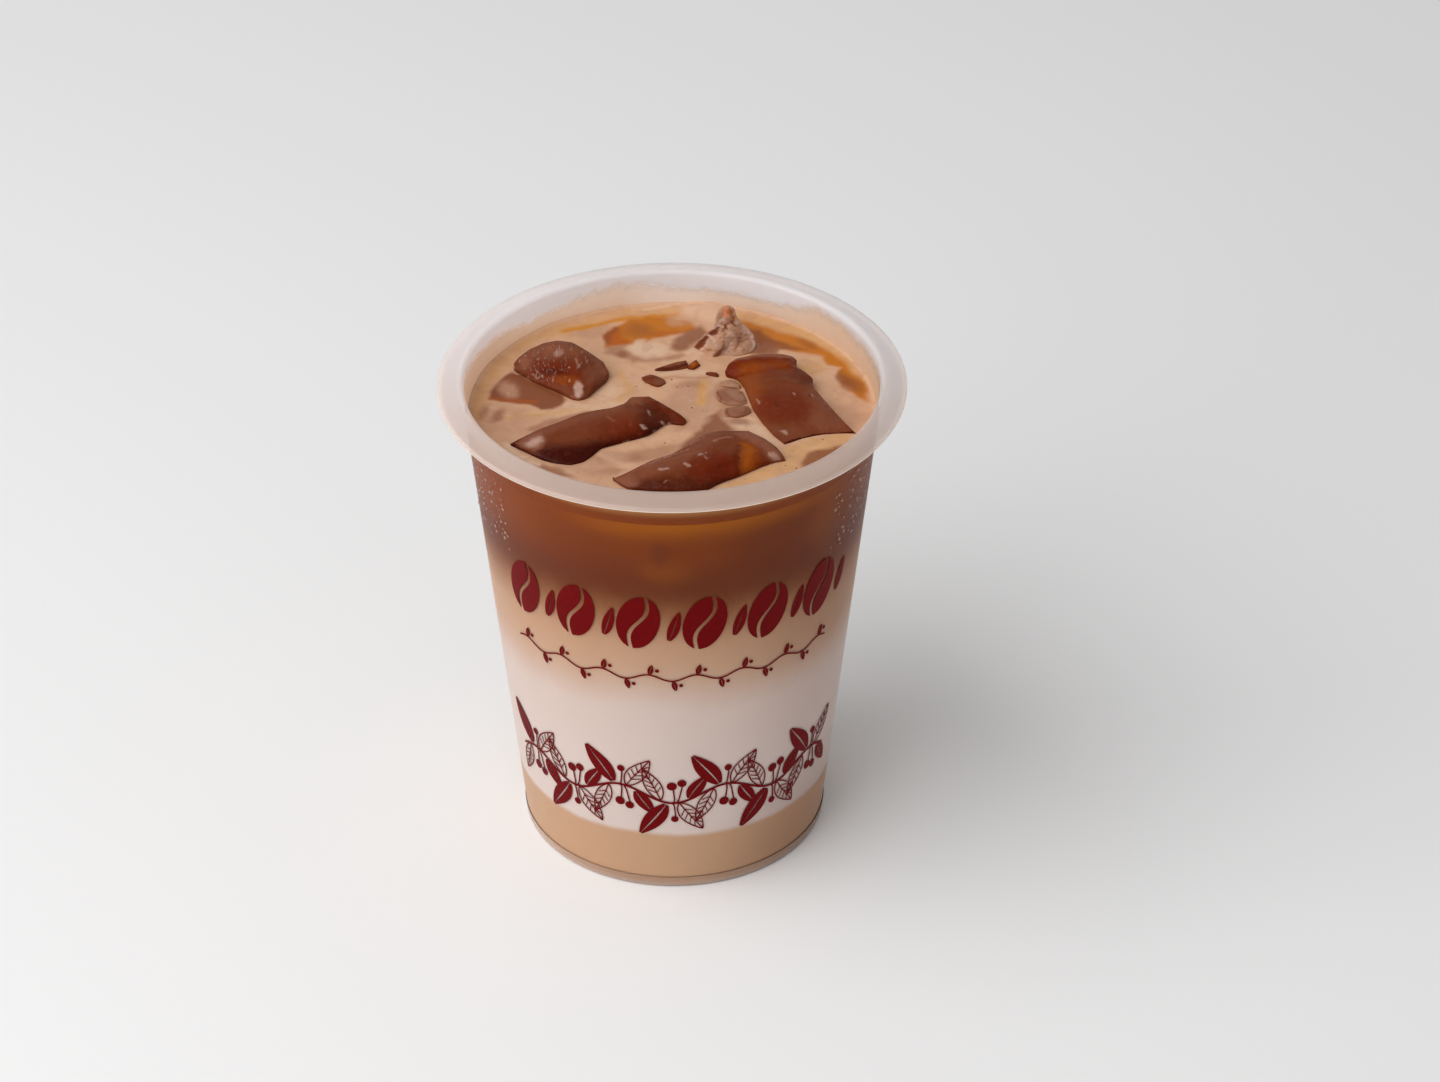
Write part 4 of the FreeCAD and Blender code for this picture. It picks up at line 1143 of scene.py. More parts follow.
SURFACE_MARKS = [
    # Left: straw-coloured band along the wall
    ("area", "straw", [(-42, -6), (-41, 6), (-38, 16), (-33, 25), (-27, 32), (-22, 33.5),
                       (-19, 28), (-27, 26.5), (-31, 22), (-34.5, 15), (-37, 8), (-38, -4)],
     4.0, 0.6),
    ("area", "sand", [(-39, 0), (-33, 2), (-26, -3), (-28, -10), (-33, -13), (-38, -9)], 4.0, 0.5),
    ("stroke", "straw", [(-33, -4), (-27, -2.5), (-20, -1.5), (-16, 0)], 1.8, 2.4, 0.7),
    ("stroke", "pale", [(-23, 2.5), (-17, 0.5), (-10, 1.5)], 2.2, 2.4, 0.6),
    ("stroke", "pale", [(-25, -3.4), (-20, -2), (-15, -0.2)], 1.4, 2.0, 0.6),
    ("spot", "pale", (-13, 5.5), (3.2, 3.0), 30, 1.2, 0.6),
    ("spot", "sand", (-16.5, 26.5), (3.4, 5.0), 10, 1.2, 0.35),
    # Brown ice under the surface beside the stub
    ("area", "brown", [(-34.6, 12.4), (-33.4, 13.8), (-31, 12.6), (-27, 9), (-22, 5),
                       (-21.4, 3.4), (-22.2, 1.4), (-24.2, 0), (-26.4, -1), (-28.6, 0.8),
                       (-33, 2.2), (-37.6, 3.8), (-37.4, 6.8), (-35.6, 9.4)], 1.2, 0.95),
    ("spot", "sand", (-33.2, 7.0), (1.9, 3.2), 18, 1.0, 0.75),
    ("stroke", "rust", [(-37.4, 4), (-33, 3.2), (-27.5, 1.6)], 0.9, 1.4, 0.7),
    ("spot", "brown", (-35.2, -3.2), (1.2, 2.6), -24, 1.2, 0.6),
    ("spot", "brown", (-38.2, -1.6), (1.0, 2.8), -12, 1.4, 0.45),
    ("spot", "sand", (-31.0, -3.6), (1.6, 2.4), -20, 1.2, 0.6),
    # Behind the left bar: painted shade along its back edge
    ("area", "brown", [(-29.4, -8.6), (-25.6, -4.8), (-21.6, -2.8), (-16.6, -1.2), (-15, -1.6),
                       (-19, -4.4), (-26.6, -10)], 1.8, 0.55),
    # Back: amber and honey
    ("area", "straw", [(-24, 31), (-17, 36), (-8, 39), (2, 39.5), (2, 37), (-8, 36.6), (-16, 33.6),
                       (-22, 29)], 2.6, 0.55),
    ("area", "sand", [(-21.4, 30), (-14, 33), (-12.6, 30), (-14, 27.4), (-21.4, 28)], 2.0, 0.8),
    ("stroke", "honey", [(-22.6, 30), (-19, 31.6), (-14, 33.5), (-9, 35.3), (-4, 36.2),
                         (1, 36.4)], 1.5, 1.8, 1.0),
    ("area", "amber", [(-13.8, 28), (-12.6, 31.4), (-9.4, 34.6), (-5, 36), (0.5, 35.8),
                       (3.6, 34.2), (4.6, 31.4), (2.4, 29.4), (0, 28.6), (-2.4, 27.8),
                       (-4, 27), (-5.4, 25.8), (-6.4, 27), (-7.4, 26.4), (-8.2, 24.4),
                       (-10, 24.6), (-13.4, 24.4)], 1.4, 0.95),
    ("area", "rust", [(-13.8, 28), (-12.6, 31.4), (-11, 30), (-10.6, 27), (-8.2, 24.6),
                      (-13.2, 24.4)], 1.6, 0.75),
    ("spot", "brown", (-7.4, 30.6), (3.2, 3.0), 0, 1.3, 0.45),
    ("stroke", "brown", [(-13.2, 25.6), (-13.2, 28.4), (-12, 31)], 1.4, 1.4, 0.7),
    ("spot", "rust", (-2.0, 29.2), (3.4, 1.4), 14, 1.2, 0.5),
    ("spot", "sand", (1.6, 34.4), (2.6, 2.0), -10, 1.2, 0.5),
    ("area", "brown", [(-13.4, 24.4), (-13.6, 21.4), (-11.4, 19.2), (-8.4, 17.4), (-3, 17.8),
                       (1, 18.4), (3.4, 20.4), (0.4, 20.6), (-1.6, 19.4), (-6, 18.9),
                       (-8.6, 20.4), (-9.6, 22.6), (-9, 24.6)], 1.8, 0.55),
    ("spot", "brown", (-10.2, 20.6), (1.5, 1.3), 0, 1.2, 0.6),
    ("area", "brown", [(-1, 22.4), (0.6, 26.6), (3, 30.6), (5.4, 32.4), (7.4, 30), (5.4, 26),
                       (3.6, 23.6), (1.4, 21.4)], 2.0, 0.8),
    ("spot", "pale", (-5.2, 22.4), (4.2, 3.2), -12, 0.8, 0.95),
    ("spot", "pale", (-7.2, 25.2), (1.0, 1.8), 10, 1.0, 0.8),
    # Behind the shard, where the film bulges
    ("stroke", "pale", [(-6, 38.6), (0, 40.2), (5, 40.4), (10, 39), (13, 37)], 1.0, 0.8, 0.9),
    ("area", "pale", [(2, 39), (4, 35.5), (8, 33), (9.6, 36), (9.4, 40), (5, 42.5)], 2.4, 0.75),
    # Right: clear coffee along the wall
    ("area", "straw", [(12, 38), (20, 35.4), (27, 31.4), (33, 26), (37.6, 18), (41, 8),
                       (39, 6), (34, 17), (28, 25), (20, 31), (14, 34)], 2.6, 0.75),
    ("area", "amber", [(13.4, 34.6), (17, 32.8), (21, 30.8), (25, 28), (29, 25), (33, 21),
                       (36, 16.6), (38.6, 11), (39.8, 6.4), (39.4, 2.4), (37.2, 4), (35.8, 7.2),
                       (34.4, 9.6), (34.4, 13), (33, 15.4), (31, 16.6), (30.4, 19.6), (26, 20.6),
                       (22.6, 22.4), (19, 25), (16.6, 25)], 2.2, 0.95),
    ("area", "brown", [(15.6, 30), (18, 30.4), (20.6, 26.6), (24, 24), (27, 22), (22.4, 21.6),
                       (21.4, 20), (16.4, 20.4), (17.2, 25)], 2.2, 0.75),
    ("spot", "brown", (35.2, 10.5), (1.6, 3.6), 14, 1.2, 0.7),
    ("spot", "brown", (37.4, 8.6), (1.4, 3.6), 14, 1.3, 0.5),
    ("spot", "brown", (27.5, 24.6), (3.0, 1.3), -44, 1.4, 0.4),
    ("spot", "brown", (18.5, 23.6), (2.2, 3.0), -20, 1.2, 0.6),
    ("area", "cream", [(21.4, 20.2), (22, 22.4), (25, 20.6), (30, 19.4), (31.4, 16.6), (34.8, 15),
                       (33.4, 11.6), (34.2, 8), (36.6, 5), (38, 2.2), (38.4, -3), (34, -6),
                       (31, 0), (28.4, 9), (28, 13), (26, 15), (25.8, 18), (24, 20.4)], 1.4, 1.0),
    ("spot", "straw", (28.6, 15.4), (2.4, 3.0), 30, 1.2, 0.6),
    ("area", "sand", [(32, 2), (37, 0), (38.6, -4), (37, -8), (34.6, -6)], 3.0, 0.7),
    # Middle
    ("area", "sand", [(-2, 1), (1, 8), (3, 11), (8, 10.6), (9, 4), (8, -4), (5, -10), (2, -9),
                      (4, -5), (0, 0)], 3.0, 0.75),
    ("stroke", "straw", [(5.8, 9.4), (6.2, 5), (6.2, 1.4)], 2.0, 2.0, 0.85),
    ("stroke", "straw", [(-11.4, 13.4), (-9.4, 10), (-8.2, 6.4), (-10.8, 3)], 1.2, 1.8, 0.85),
    ("stroke", "pale", [(-3, 13.6), (1, 13.8), (6, 13.4)], 1.2, 1.6, 0.8),
    ("stroke", "pale", [(3, 20.6), (4.4, 22.6), (6, 20.6), (4.6, 18.6)], 1.4, 1.4, 0.7),
    ("stroke", "brown", [(-4.6, 11.4), (0, 11.8), (3, 11.4), (7, 11.2)], 0.6, 1.6, 0.5),
    ("area", "brown", [(8.4, 7), (9.6, 10), (13, 10.2), (14.4, 6), (15.4, 1), (16.6, -3),
                       (11, -4), (9.6, 0)], 2.2, 0.5),
    ("spot", "straw", (12.2, 8.6), (1.8, 1.4), -30, 1.0, 0.7),
    ("stroke", "honey", [(5.9, 8), (6.2, 2.4)], 1.0, 1.8, 0.3),
    ("spot", "brown", (3.0, 8.4), (2.8, 1.6), 10, 1.3, 0.3),
    ("spot", "brown", (1.6, -7.0), (1.4, 2.6), -20, 1.3, 0.35),
    # Ice under the surface behind the front bar, and the milk beside it
    ("area", "brown", [(0.6, -17.6), (2.4, -13), (5.6, -9), (8, -3), (9.8, -1), (10.6, -5),
                       (12.4, -8.6), (8, -12)], 2.0, 0.85),
    ("area", "pale", [(10.4, -4), (13.6, -4.4), (16, -4), (17.4, -6.4), (20, -11), (22, -14.4),
                      (20.6, -14), (18, -10.8), (15, -8.2), (12.2, -7.8)], 1.4, 0.85),
    ("spot", "brown", (13.4, -5.4), (2.6, 1.3), -12, 1.1, 0.65),
    ("spot", "brown", (-9.4, -18.4), (3.6, 1.8), -12, 1.2, 0.5),
    ("spot", "brown", (-15.0, -20.0), (3.4, 1.4), -20, 1.2, 0.4),
    ("area", "brown", [(-8.4, -16.6), (-6.6, -20), (-3.4, -20), (0.4, -17.4), (2, -14),
                       (-2, -14.2), (-5, -15)], 2.6, 0.45),
    ("spot", "pale", (-11, -19), (2.6, 2.0), 30, 1.2, 0.35),
    # Front left
    ("area", "brown", [(-27.4, -20.2), (-22.4, -22.2), (-19.6, -26), (-23.6, -25.4)], 1.6, 0.65),
    ("area", "brown", [(-16.4, -24.2), (-11, -25.4), (-8.6, -23.4), (-12.4, -22.4)], 2.0, 0.5),
    ("spot", "sand", (-16, -23), (6.0, 3.0), -24, 1.2, 0.6),
    # Painted highlight: a cream line where the surface meets the left bar's front-left end.
    ("stroke", "pale", [(-33.4, -14.4), (-30.6, -17.6), (-26.6, -20.8)], 1.3, 0.8, 1.0),
    # Front right
    ("area", "straw", [(22.6, -15), (28, -12), (34, -10.4), (36.6, -10.6), (36, -15), (28, -21),
                       (20, -27), (9, -32), (9.6, -29), (16, -25), (22.6, -20.6)], 1.6, 0.6),
    ("area", "brown", [(26, -20.4), (27, -17.6), (30, -16.4), (34, -14.4), (35.4, -15.4),
                       (30, -20.6), (26, -23)], 1.8, 0.85),
]
SURFACE_TONES = ("cream", "sand", "straw", "brown", "honey", "amber", "rust", "pale")


def surface_height(x, y):
    """Height over the level: soft waves, a climb at the wall and a bulge behind the shard."""
    wave = np.array([noise.noise(Vector((a / 9, b / 9, 3.1))) * 0.22
                     + noise.noise(Vector((a / 2.6, b / 2.6, 7.7))) * 0.06
                     for a, b in zip(x, y)])
    wall_gap = inner_radius(LEVEL) + BITE - np.hypot(x, y)
    in_front = soft_step(-y / 20)
    climb = MENISCUS_RISE * np.exp(-wall_gap / 0.6) + 1.7 * in_front * np.exp(-wall_gap / 0.3)
    bulge = 0.9 * np.exp(-(((x - 6.0) / 5.0) ** 2 + ((y - 38.5) / 2.4) ** 2))
    return wave + climb + bulge


def marbled_coffee(look):
    """Milk and coffee half mixed, wet and glossy. Veins break up the listed tones."""
    paint = Finish("marbled_coffee", Roughness=0.3, Specular_IOR_Level=0.12)
    place = paint.place()
    x, y, z = paint.split(place)
    flat = paint.join(x, y, 0.0)
    veins = paint.noise(flat, 6.0, detail=5.0, roughness=0.55, distortion=1.4)
    wisps = paint.noise(flat, 2.4, detail=4.0, roughness=0.6, distortion=1.2)
    colour = paint.tones(look, SURFACE_TONES)
    calm = 1.0 - paint.attribute("dark")
    colour = paint.mix(paint.step(veins, 0.48, 0.66) * 0.4 * calm, colour, look.sand)
    colour = paint.mix(paint.step(veins, 0.46, 0.34) * 0.3 * calm, colour, look.pale)
    colour = paint.mix(paint.step(wisps, 0.54, 0.7) * 0.16 * calm, colour, look.pale)
    reach = paint.across(x, y) - paint.step(y, -14.0, 6.0) * 0.38
    side = paint.step(reach, inner_radius(LEVEL) - 0.3, inner_radius(LEVEL) + 0.2)
    # Painted light: the climb at the wall is coffee, painted lighter towards its top where the
    # flange shades it.
    wet = paint.mix(paint.step(z, LEVEL, LEVEL + 2.2) * 0.55, look.coffee, look.straw)
    colour = paint.mix(side, colour, wet)
    paint.set("Base Color", colour)
    paint.set("Roughness", 0.24 + wisps * 0.12)
    paint.bump(veins + wisps * 0.3, 0.00012)
    return paint.material


class LATTE_OT_surface(bpy.types.Operator):
    """Makes the marbled surface with its climb at the wall and a bulge behind the shard"""
    bl_idname = "latte.surface"
    bl_label = "Surface"

    def execute(self, context):
        count = 220
        x, y = disc_grid(count, inner_radius(LEVEL) + BITE)
        flat_x, flat_y = x.ravel(), y.ravel()
        far_x, far_y = warp(flat_x, flat_y, grain=7.0, amount=0.9, seed=1.5)
        far_x, far_y = warp(far_x, far_y, grain=2.0, amount=0.45, seed=4.5)
        tones = Wash(far_x, far_y, "cream")
        tones.paint(SURFACE_MARKS)
        wall_gap = inner_radius(LEVEL) - np.hypot(flat_x, flat_y)
        behind = soft_step(flat_y / 20 + 0.4)
        tones.lay("pale", 0.8 * behind * soft_step(1 - np.abs(wall_gap - 0.4) / 0.7))
        shares = tones.covers(SURFACE_TONES)
        shares["dark"] = sum(tones.shares[tone] for tone in ("brown", "honey", "amber", "rust"))
        shares = {key: np.concatenate([value, value]) for key, value in shares.items()}
        height = surface_height(flat_x, flat_y).reshape(x.shape)
        top = np.stack([x, y, LEVEL + height], axis=-1)
        sunk = BODY_TOP - 0.5
        lower = (inner_radius(sunk) + BITE) / (inner_radius(LEVEL) + BITE)
        under = np.stack([x * lower, y * lower, np.full_like(x, sunk)], axis=-1)
        points, faces = closed_patch(top, under)
        material = marbled_coffee(context.scene.latte_drink)
        piece = make_piece("drink_surface", points, faces, material, attributes=shares)
        hand_over(piece, "coffee", "coffee_layer")
        return {"FINISHED"}


# ---------------------------------------------------------------------------------------------
# Film of drink on the wall
# ---------------------------------------------------------------------------------------------

# How high the film stands over the level, by the angle round the cup from the right.
FILM_TOP = [(-90, 3.0), (-65, 2.6), (-40, 3.5), (-20, 5.5), (0, 7.4), (15, 6.4), (30, 6.8),
            (45, 7.0), (55, 4.6), (62, 3.6), (75, 4.4), (90, 4.4), (100, 6.2), (108, 6.4),
            (120, 4.8), (135, 3.2), (150, 5.4), (165, 5.8), (180, 7.4), (200, 5.6), (220, 3.0),
            (245, 2.7), (270, 3.0)]
FILM_SPAN = (-0.4, 6.7)  # heights over the level that the film's sheet reaches
FILM_SIDES = (-0.06, 0.1)  # how far each face of the film stands outside the wall's inside


def dried_film(look):
    """A tan film, thin at its upper edge and pale at the back, with light in it on the left."""
    paint = Finish("dried_film", Roughness=0.3, Specular_IOR_Level=0.15, Emission_Strength=0.28)
    place = paint.place()
    x, y = paint.split(place)[:2]
    cloud = paint.noise(place, 3.0, detail=4.0, roughness=0.6)
    cover = paint.attribute("cover")
    streak = paint.noise(paint.stretched(place, 1.0, 1.0, 0.25), 1.6)
    sides = paint.step(abs(x), 12.0, 44.0)
    colour = paint.mix(sides * 0.45, look.film, look.straw)
    colour = paint.mix(paint.step(cover + (streak - 0.5) * 0.2, 0.5, 1.0) * 0.3, colour, look.cream)
    back = paint.step(y, 34.0, 42.0) * paint.step(abs(x), 14.0, 2.0)
    colour = paint.mix(back * 0.6, colour, srgb(246, 232, 222))
    paint.set("Base Color", colour)
    paint.set("Emission Color", paint.mix(paint.step(x, 12.0, -34.0), BLACK, colour))
    thick = paint.step(cover + (cloud - 0.5) * 0.3, 0.02, 0.5)
    paint.set("Alpha", thick * (0.86 + (streak - 0.5) * 0.1))
    paint.set("Roughness", 0.28 + cloud * 0.2)
    return paint.material


class LATTE_OT_film(bpy.types.Operator):
    """Lays the film that the drink has left on the inside of the wall"""
    bl_idname = "latte.film"
    bl_label = "Film on the wall"

    def execute(self, context):
        angles, tops = zip(*FILM_TOP)
        turn, height = np.meshgrid(np.linspace(angles[0], angles[-1], 361),
                                   np.linspace(*FILM_SPAN, 40), indexing="ij")
        edge = np.interp(turn, angles, tops)
        wander = np.array([noise.noise(Vector((t / 4.0, 0.0, 2.2))) * 0.5
                           + noise.noise(Vector((t / 1.1, 0.0, 8.2))) * 0.1
                           for t in turn[:, 0]])[:, None]
        to_front = np.clip((180.0 - np.abs(turn - 90.0)) / 30.0, 0, 1)
        cover = np.clip((edge + wander * to_front - height) / edge, 0, 1)
        c, s = np.cos(np.radians(turn)), np.sin(np.radians(turn))
        faces_at = [inner_radius(LEVEL + height) + side for side in FILM_SIDES]
        points, faces = closed_patch(*[np.stack([radius * c, radius * s, LEVEL + height], axis=-1)
                                       for radius in faces_at])
        shares = {"cover": np.tile(cover.ravel(), 2)}
        material = dried_film(context.scene.latte_drink)
        piece = make_piece("wall_film", points, faces, material, attributes=shares)
        hand_over(piece, "latte")
        return {"FINISHED"}


# ---------------------------------------------------------------------------------------------
# Droplets on the wall, and bubbles and grounds on the surface
# ---------------------------------------------------------------------------------------------


class Rule(Paint):
    """A geometry tree with named inputs."""

    def __init__(self, name):
        super().__init__(bpy.data.node_groups.new(name, "GeometryNodeTree"))
        self.inputs = {}
        self.entry = None

    def ask(self, name, kind):
        """Adds a named input."""
        socket = self.tree.interface.new_socket(name, in_out="INPUT", socket_type=kind)
        self.inputs[name] = socket.identifier

    def begin(self):
        """Adds the node that gives the inputs, once they are all asked for."""
        self.entry = self.node("NodeGroupInput")

    def given(self, name):
        return self.out(self.entry, name)

    def end(self, geometry):
        self.tree.interface.new_socket("Geometry", in_out="OUTPUT",
                                       socket_type="NodeSocketGeometry")
        self.node("NodeGroupOutput", inputs={"Geometry": geometry})

    def apply(self, piece, values):
        """Runs the tree on a piece and keeps the result as its plain mesh."""
        modifier = piece.modifiers.new("rule", "NODES")
        modifier.node_group = self.tree
        for name, value in values.items():
            modifier[self.inputs[name]] = value
        graph = bpy.context.evaluated_depsgraph_get()
        mesh = bpy.data.meshes.new_from_object(piece.evaluated_get(graph))
        piece.modifiers.clear()
        piece.data = mesh
        tidy_mesh(mesh)


def scattered():
    """Scatters a small shape over faces, turned to them, in random sizes."""
    rule = Rule("scattered")
    rule.ask("Faces", "NodeSocketGeometry")
    rule.ask("Shape", "NodeSocketObject")
    for name in ("Density", "Smallest", "Largest", "Spacing"):
        rule.ask(name, "NodeSocketFloat")
    rule.ask("Seed", "NodeSocketInt")
    rule.ask("Finish", "NodeSocketMaterial")
    rule.begin()
    seed = rule.given("Seed")
    spots = rule.node("GeometryNodeDistributePointsOnFaces", {"distribute_method": "POISSON"}, {
        "Mesh": rule.given("Faces"), "Distance Min": rule.given("Spacing"),
        "Density Max": rule.given("Density"), "Seed": seed})
    shape = rule.node("GeometryNodeObjectInfo", {"transform_space": "ORIGINAL"},
                      {"Object": rule.given("Shape")})
    chance = rule.node("FunctionNodeRandomValue", {"data_type": "FLOAT"}, {"Seed": seed})
    share = rule.out(chance, 1) ** 2.5
    size = rule.given("Smallest") + share * (rule.given("Largest") - rule.given("Smallest"))
    placed_shapes = rule.node("GeometryNodeInstanceOnPoints", inputs={
        "Points": rule.out(spots), "Instance": rule.out(shape, "Geometry"),
        "Rotation": rule.out(spots, "Rotation"), "Scale": rule.join(size, size, size)})
    real = rule.node("GeometryNodeRealizeInstances", inputs={0: rule.out(placed_shapes)})
    done = rule.node("GeometryNodeSetMaterial", inputs={"Geometry": rule.out(real),
                                                        "Material": rule.given("Finish")})
    rule.end(rule.out(done))
    return rule


def bead_shape(rise, segments=10, rings=4):
    """A low dome of radius 1 that closes a little under its foot."""
    profile = [Vector((0.0, -0.3)), Vector((0.9, -0.3))]
    profile += [Vector((math.cos(turn), math.sin(turn) * rise))
                for turn in np.linspace(0, math.pi / 2, rings)[:-1]]
    profile.append(Vector((0.0, rise)))
    return spun(profile, segments)


def water_bead():
    """Clear water with a small highlight, a little paler than what it lies on."""
    return Finish("water_bead", Base_Color=srgb(206, 176, 160), Roughness=0.12, IOR=1.33,
                  Alpha=0.3).material


def froth_bubble(look):
    """A small bubble of milk and coffee."""
    return Finish("froth_bubble", Base_Color=look.pale, Roughness=0.15, Specular_IOR_Level=0.4,
                  Alpha=0.6).material


def coffee_ground(look):
    """A speck of ground coffee."""
    return Finish("coffee_ground", Base_Color=look.shade, Roughness=0.6,
                  Specular_IOR_Level=0.1).material


def wall_patch(azimuth, width, low, high):
    """Faces on the wall's outside, from an azimuth over that many degrees."""
    turn = np.radians(np.linspace(azimuth, azimuth + width, 24))
    turn, height = np.meshgrid(turn, np.linspace(low, high, 10), indexing="ij")
    radius = outer_radius(height)
    points = np.stack([radius * np.sin(turn), -radius * np.cos(turn), height], axis=-1)
    return points.reshape(-1, 3), grid_quads(grid_index(turn.shape)).reshape(-1, 4).tolist()


def surface_patch(outline):
    """Faces on the drink's surface within an outline on the level."""
    cell = 0.8
    low, high = np.min(outline, axis=0), np.max(outline, axis=0)
    x, y = np.meshgrid(np.arange(low[0], high[0], cell), np.arange(low[1], high[1], cell),
                       indexing="ij")
    height = LEVEL + surface_height(x.ravel(), y.ravel())
    kept = is_inside(x[:-1, :-1] + cell / 2, y[:-1, :-1] + cell / 2, outline)
    return (np.column_stack([x.ravel(), y.ravel(), height]),
            grid_quads(grid_index(x.shape))[kept].tolist())


# Parts of the level with no ice, where bubbles and grounds float.
OPEN_SURFACE = [
    [(-11, 3), (-6, 6), (-2, 4), (4, -4), (8, -6), (8, 8), (0, 13), (-11, 14)],
    [(-24, -3), (-12, 1.5), (-11, 6), (-16, 2.5), (-20, 2), (-30, -1)],
    [(-12, -15), (-4, -12), (2, -9), (2, -14), (-6, -19), (-16, -21)],
    [(-14, -23), (-9, -25), (-10, -30), (-18, -29), (-24, -24), (-18, -22.5)],
    [(22, -19), (26, -12.5), (34, -11), (32, -18), (24, -26), (14, -29), (12, -27)],
]


class LATTE_OT_beads(bpy.types.Operator):
    """Scatters condensation on the wall and bubbles and grounds on the surface"""
    bl_idname = "latte.beads"
    bl_label = "Beads"

    def execute(self, context):
        look = context.scene.latte_drink
        rule = scattered()
        walls = joined([wall_patch(azimuth, 26, 78, 97) for azimuth in (-80, 52)])
        surface = joined([surface_patch(outline) for outline in OPEN_SURFACE])
        kinds = {
            # name: faces, slot, shape, finish, how many in a square metre, radii, spacing, seed
            "water_beads": (walls, "cup", bead_shape(0.35), water_bead(),
                            520000, 0.1, 0.44, 0.8, 3),
            "froth_bubbles": (surface, "coffee", bead_shape(0.55), froth_bubble(look),
                              90000, 0.08, 0.3, 1.0, 8),
            "coffee_grounds": (surface, "coffee", bead_shape(0.3, 6, 3), coffee_ground(look),
                               34000, 0.1, 0.24, 1.4, 5),
        }
        for name, (patch, slot, bead, finish, density, small, large, gap, seed) in kinds.items():
            piece = make_piece(name, *patch, finish, smooth=False)
            shape = make_piece(f"{name}_shape", np.array(bead[0]) / MM, bead[1], finish)
            rule.apply(piece, {"Shape": shape, "Density": density, "Smallest": small * MM,
                               "Largest": large * MM, "Spacing": gap * MM, "Seed": seed,
                               "Finish": finish})
            bpy.data.objects.remove(shape)
            hand_over(piece, slot)
        return {"FINISHED"}


# ---------------------------------------------------------------------------------------------
# Print
# ---------------------------------------------------------------------------------------------

INK_DEPTH = 0.06  # how far the ink's solids reach into the wall


def slab(grid):
    """A flat closed slab of ink over a grid of (X, Y) places."""
    flat = np.asarray(grid, dtype=float)
    top = np.concatenate([flat, np.zeros(flat.shape[:2] + (1,))], axis=2)
    return closed_patch(top, top - [0, 0, INK_DEPTH])


def ribbon(line, width):
    """A slab along a line. The width may be one number or one for each point."""
    line = np.asarray(line, dtype=float)
    ahead = np.gradient(line, axis=0)
    ahead /= np.maximum(np.hypot(*ahead.T), 1e-9)[:, None]
    side = np.column_stack([-ahead[:, 1], ahead[:, 0]]) * (np.asarray(width) / 2).reshape(-1, 1)
    return slab(np.stack([line - side, line, line + side], axis=1))


def placed(grid, base, turn):
    """Places turned by that many degrees and moved to a base."""
    c, s = math.cos(math.radians(turn)), math.sin(math.radians(turn))
    grid = np.asarray(grid, dtype=float)
    x, y = grid[..., 0], grid[..., 1]
    return np.stack([x * c - y * s + base[0], x * s + y * c + base[1]], axis=-1)


def bean_slabs(base, turn):
    """A coffee bean: two solid lobes with a slit like a long S between them."""
    half_wide, half_high, slit = 4.4, 6.8, 0.9
    slabs = []
    for side in (-1, 1):
        rows = []
        for y in np.linspace(-0.985, 0.985, 26):
            middle = 1.1 * math.sin(math.pi * y) + side * slit / 2
            edge = side * half_wide * math.sqrt(1 - y * y)
            edge = max(edge, middle + 0.12) if side > 0 else min(edge, middle - 0.12)
            rows.append([(x, y * half_high) for x in np.linspace(middle, edge, 6)])
        slabs.append(slab(placed(rows, base, turn)))
    return slabs


def leaf_edge(u, length, wide, bend):
    """Midrib and edge of a leaf at shares of its length."""
    rib = np.column_stack([u * length, bend * np.sin(math.pi * u / 2) * u])
    reach = wide * np.sin(math.pi * u ** 0.85) ** 0.85
    return rib, np.column_stack([np.zeros_like(u), reach])


def leaf_slabs(base, turn, length, wide, bend, solid=True):
    """A leaf, either solid with a gap for its midrib or drawn with thin lines."""
    u = np.linspace(0, 1, 22)
    rib, reach = leaf_edge(u, length, wide, bend)
    slabs = []
    for side in (-1, 1):
        if solid:
            inner = rib + reach * side * 0.09
            outer = rib + reach * side
            rows = np.stack([inner + (outer - inner) * third / 3 for third in range(4)], axis=1)
            slabs.append(slab(placed(rows[1:-1], base, turn)))
        else:
            slabs.append(ribbon(placed(rib + reach * side, base, turn), 0.28))
            for start in (5, 8, 11, 14):
                vein = np.array([rib[start], (rib + reach * side * 0.8)[start + 3]])
                slabs.append(ribbon(placed(vein, base, turn), 0.2))
    if not solid:
        slabs.append(ribbon(placed(rib, base, turn), 0.26))
    return slabs


def cherry_slabs(middle, radius, stem):
    """A coffee cherry with its stem."""
    grid = np.stack(disc_grid(9, radius), axis=-1)
    line = np.linspace(middle, stem, 6)
    line[1:-1, 0] += 0.25
    return [slab(grid + middle), ribbon(line, 0.3)]


def sprig_slabs(length):
    """One arch of the garland, with its leaves and cherries."""
    u = np.linspace(-0.5, 0.5, 20)
    stem = np.column_stack([u * length, 2.0 * np.cos(math.pi * u)])
    slabs = [ribbon(stem, 0.5)]
    slabs += leaf_slabs((-1.2, 2.0), 118, 11.0, 2.1, 1.2)
    slabs += leaf_slabs((1.4, 1.9), 62, 9.0, 1.9, -1.0, solid=False)
    slabs += leaf_slabs((-2.6, 1.3), -108, 9.0, 1.7, -0.8, solid=False)
    slabs += leaf_slabs((3.2, 1.0), -64, 7.4, 1.6, 0.8)
    slabs += cherry_slabs((-0.2, -2.6), 1.05, (0.2, 1.9))
    slabs += cherry_slabs((1.9, -3.4), 0.95, (0.9, 1.8))
    slabs += cherry_slabs((0.4, 6.4), 0.8, (0.0, 2.0))
    return slabs


def wave_slabs(length):
    """One wave of the thin line, with a small leaf and a dot."""
    u = np.linspace(-0.5, 0.5, 14)
    line = np.column_stack([u * length, 0.75 * np.cos(math.pi * u)])
    dot = np.stack(disc_grid(5, 0.42), axis=-1)
    return [ribbon(line, 0.34), slab(dot + (1.9, 1.9)),
            *leaf_slabs((0.2, 0.8), 68, 2.7, 0.62, 0.3)]


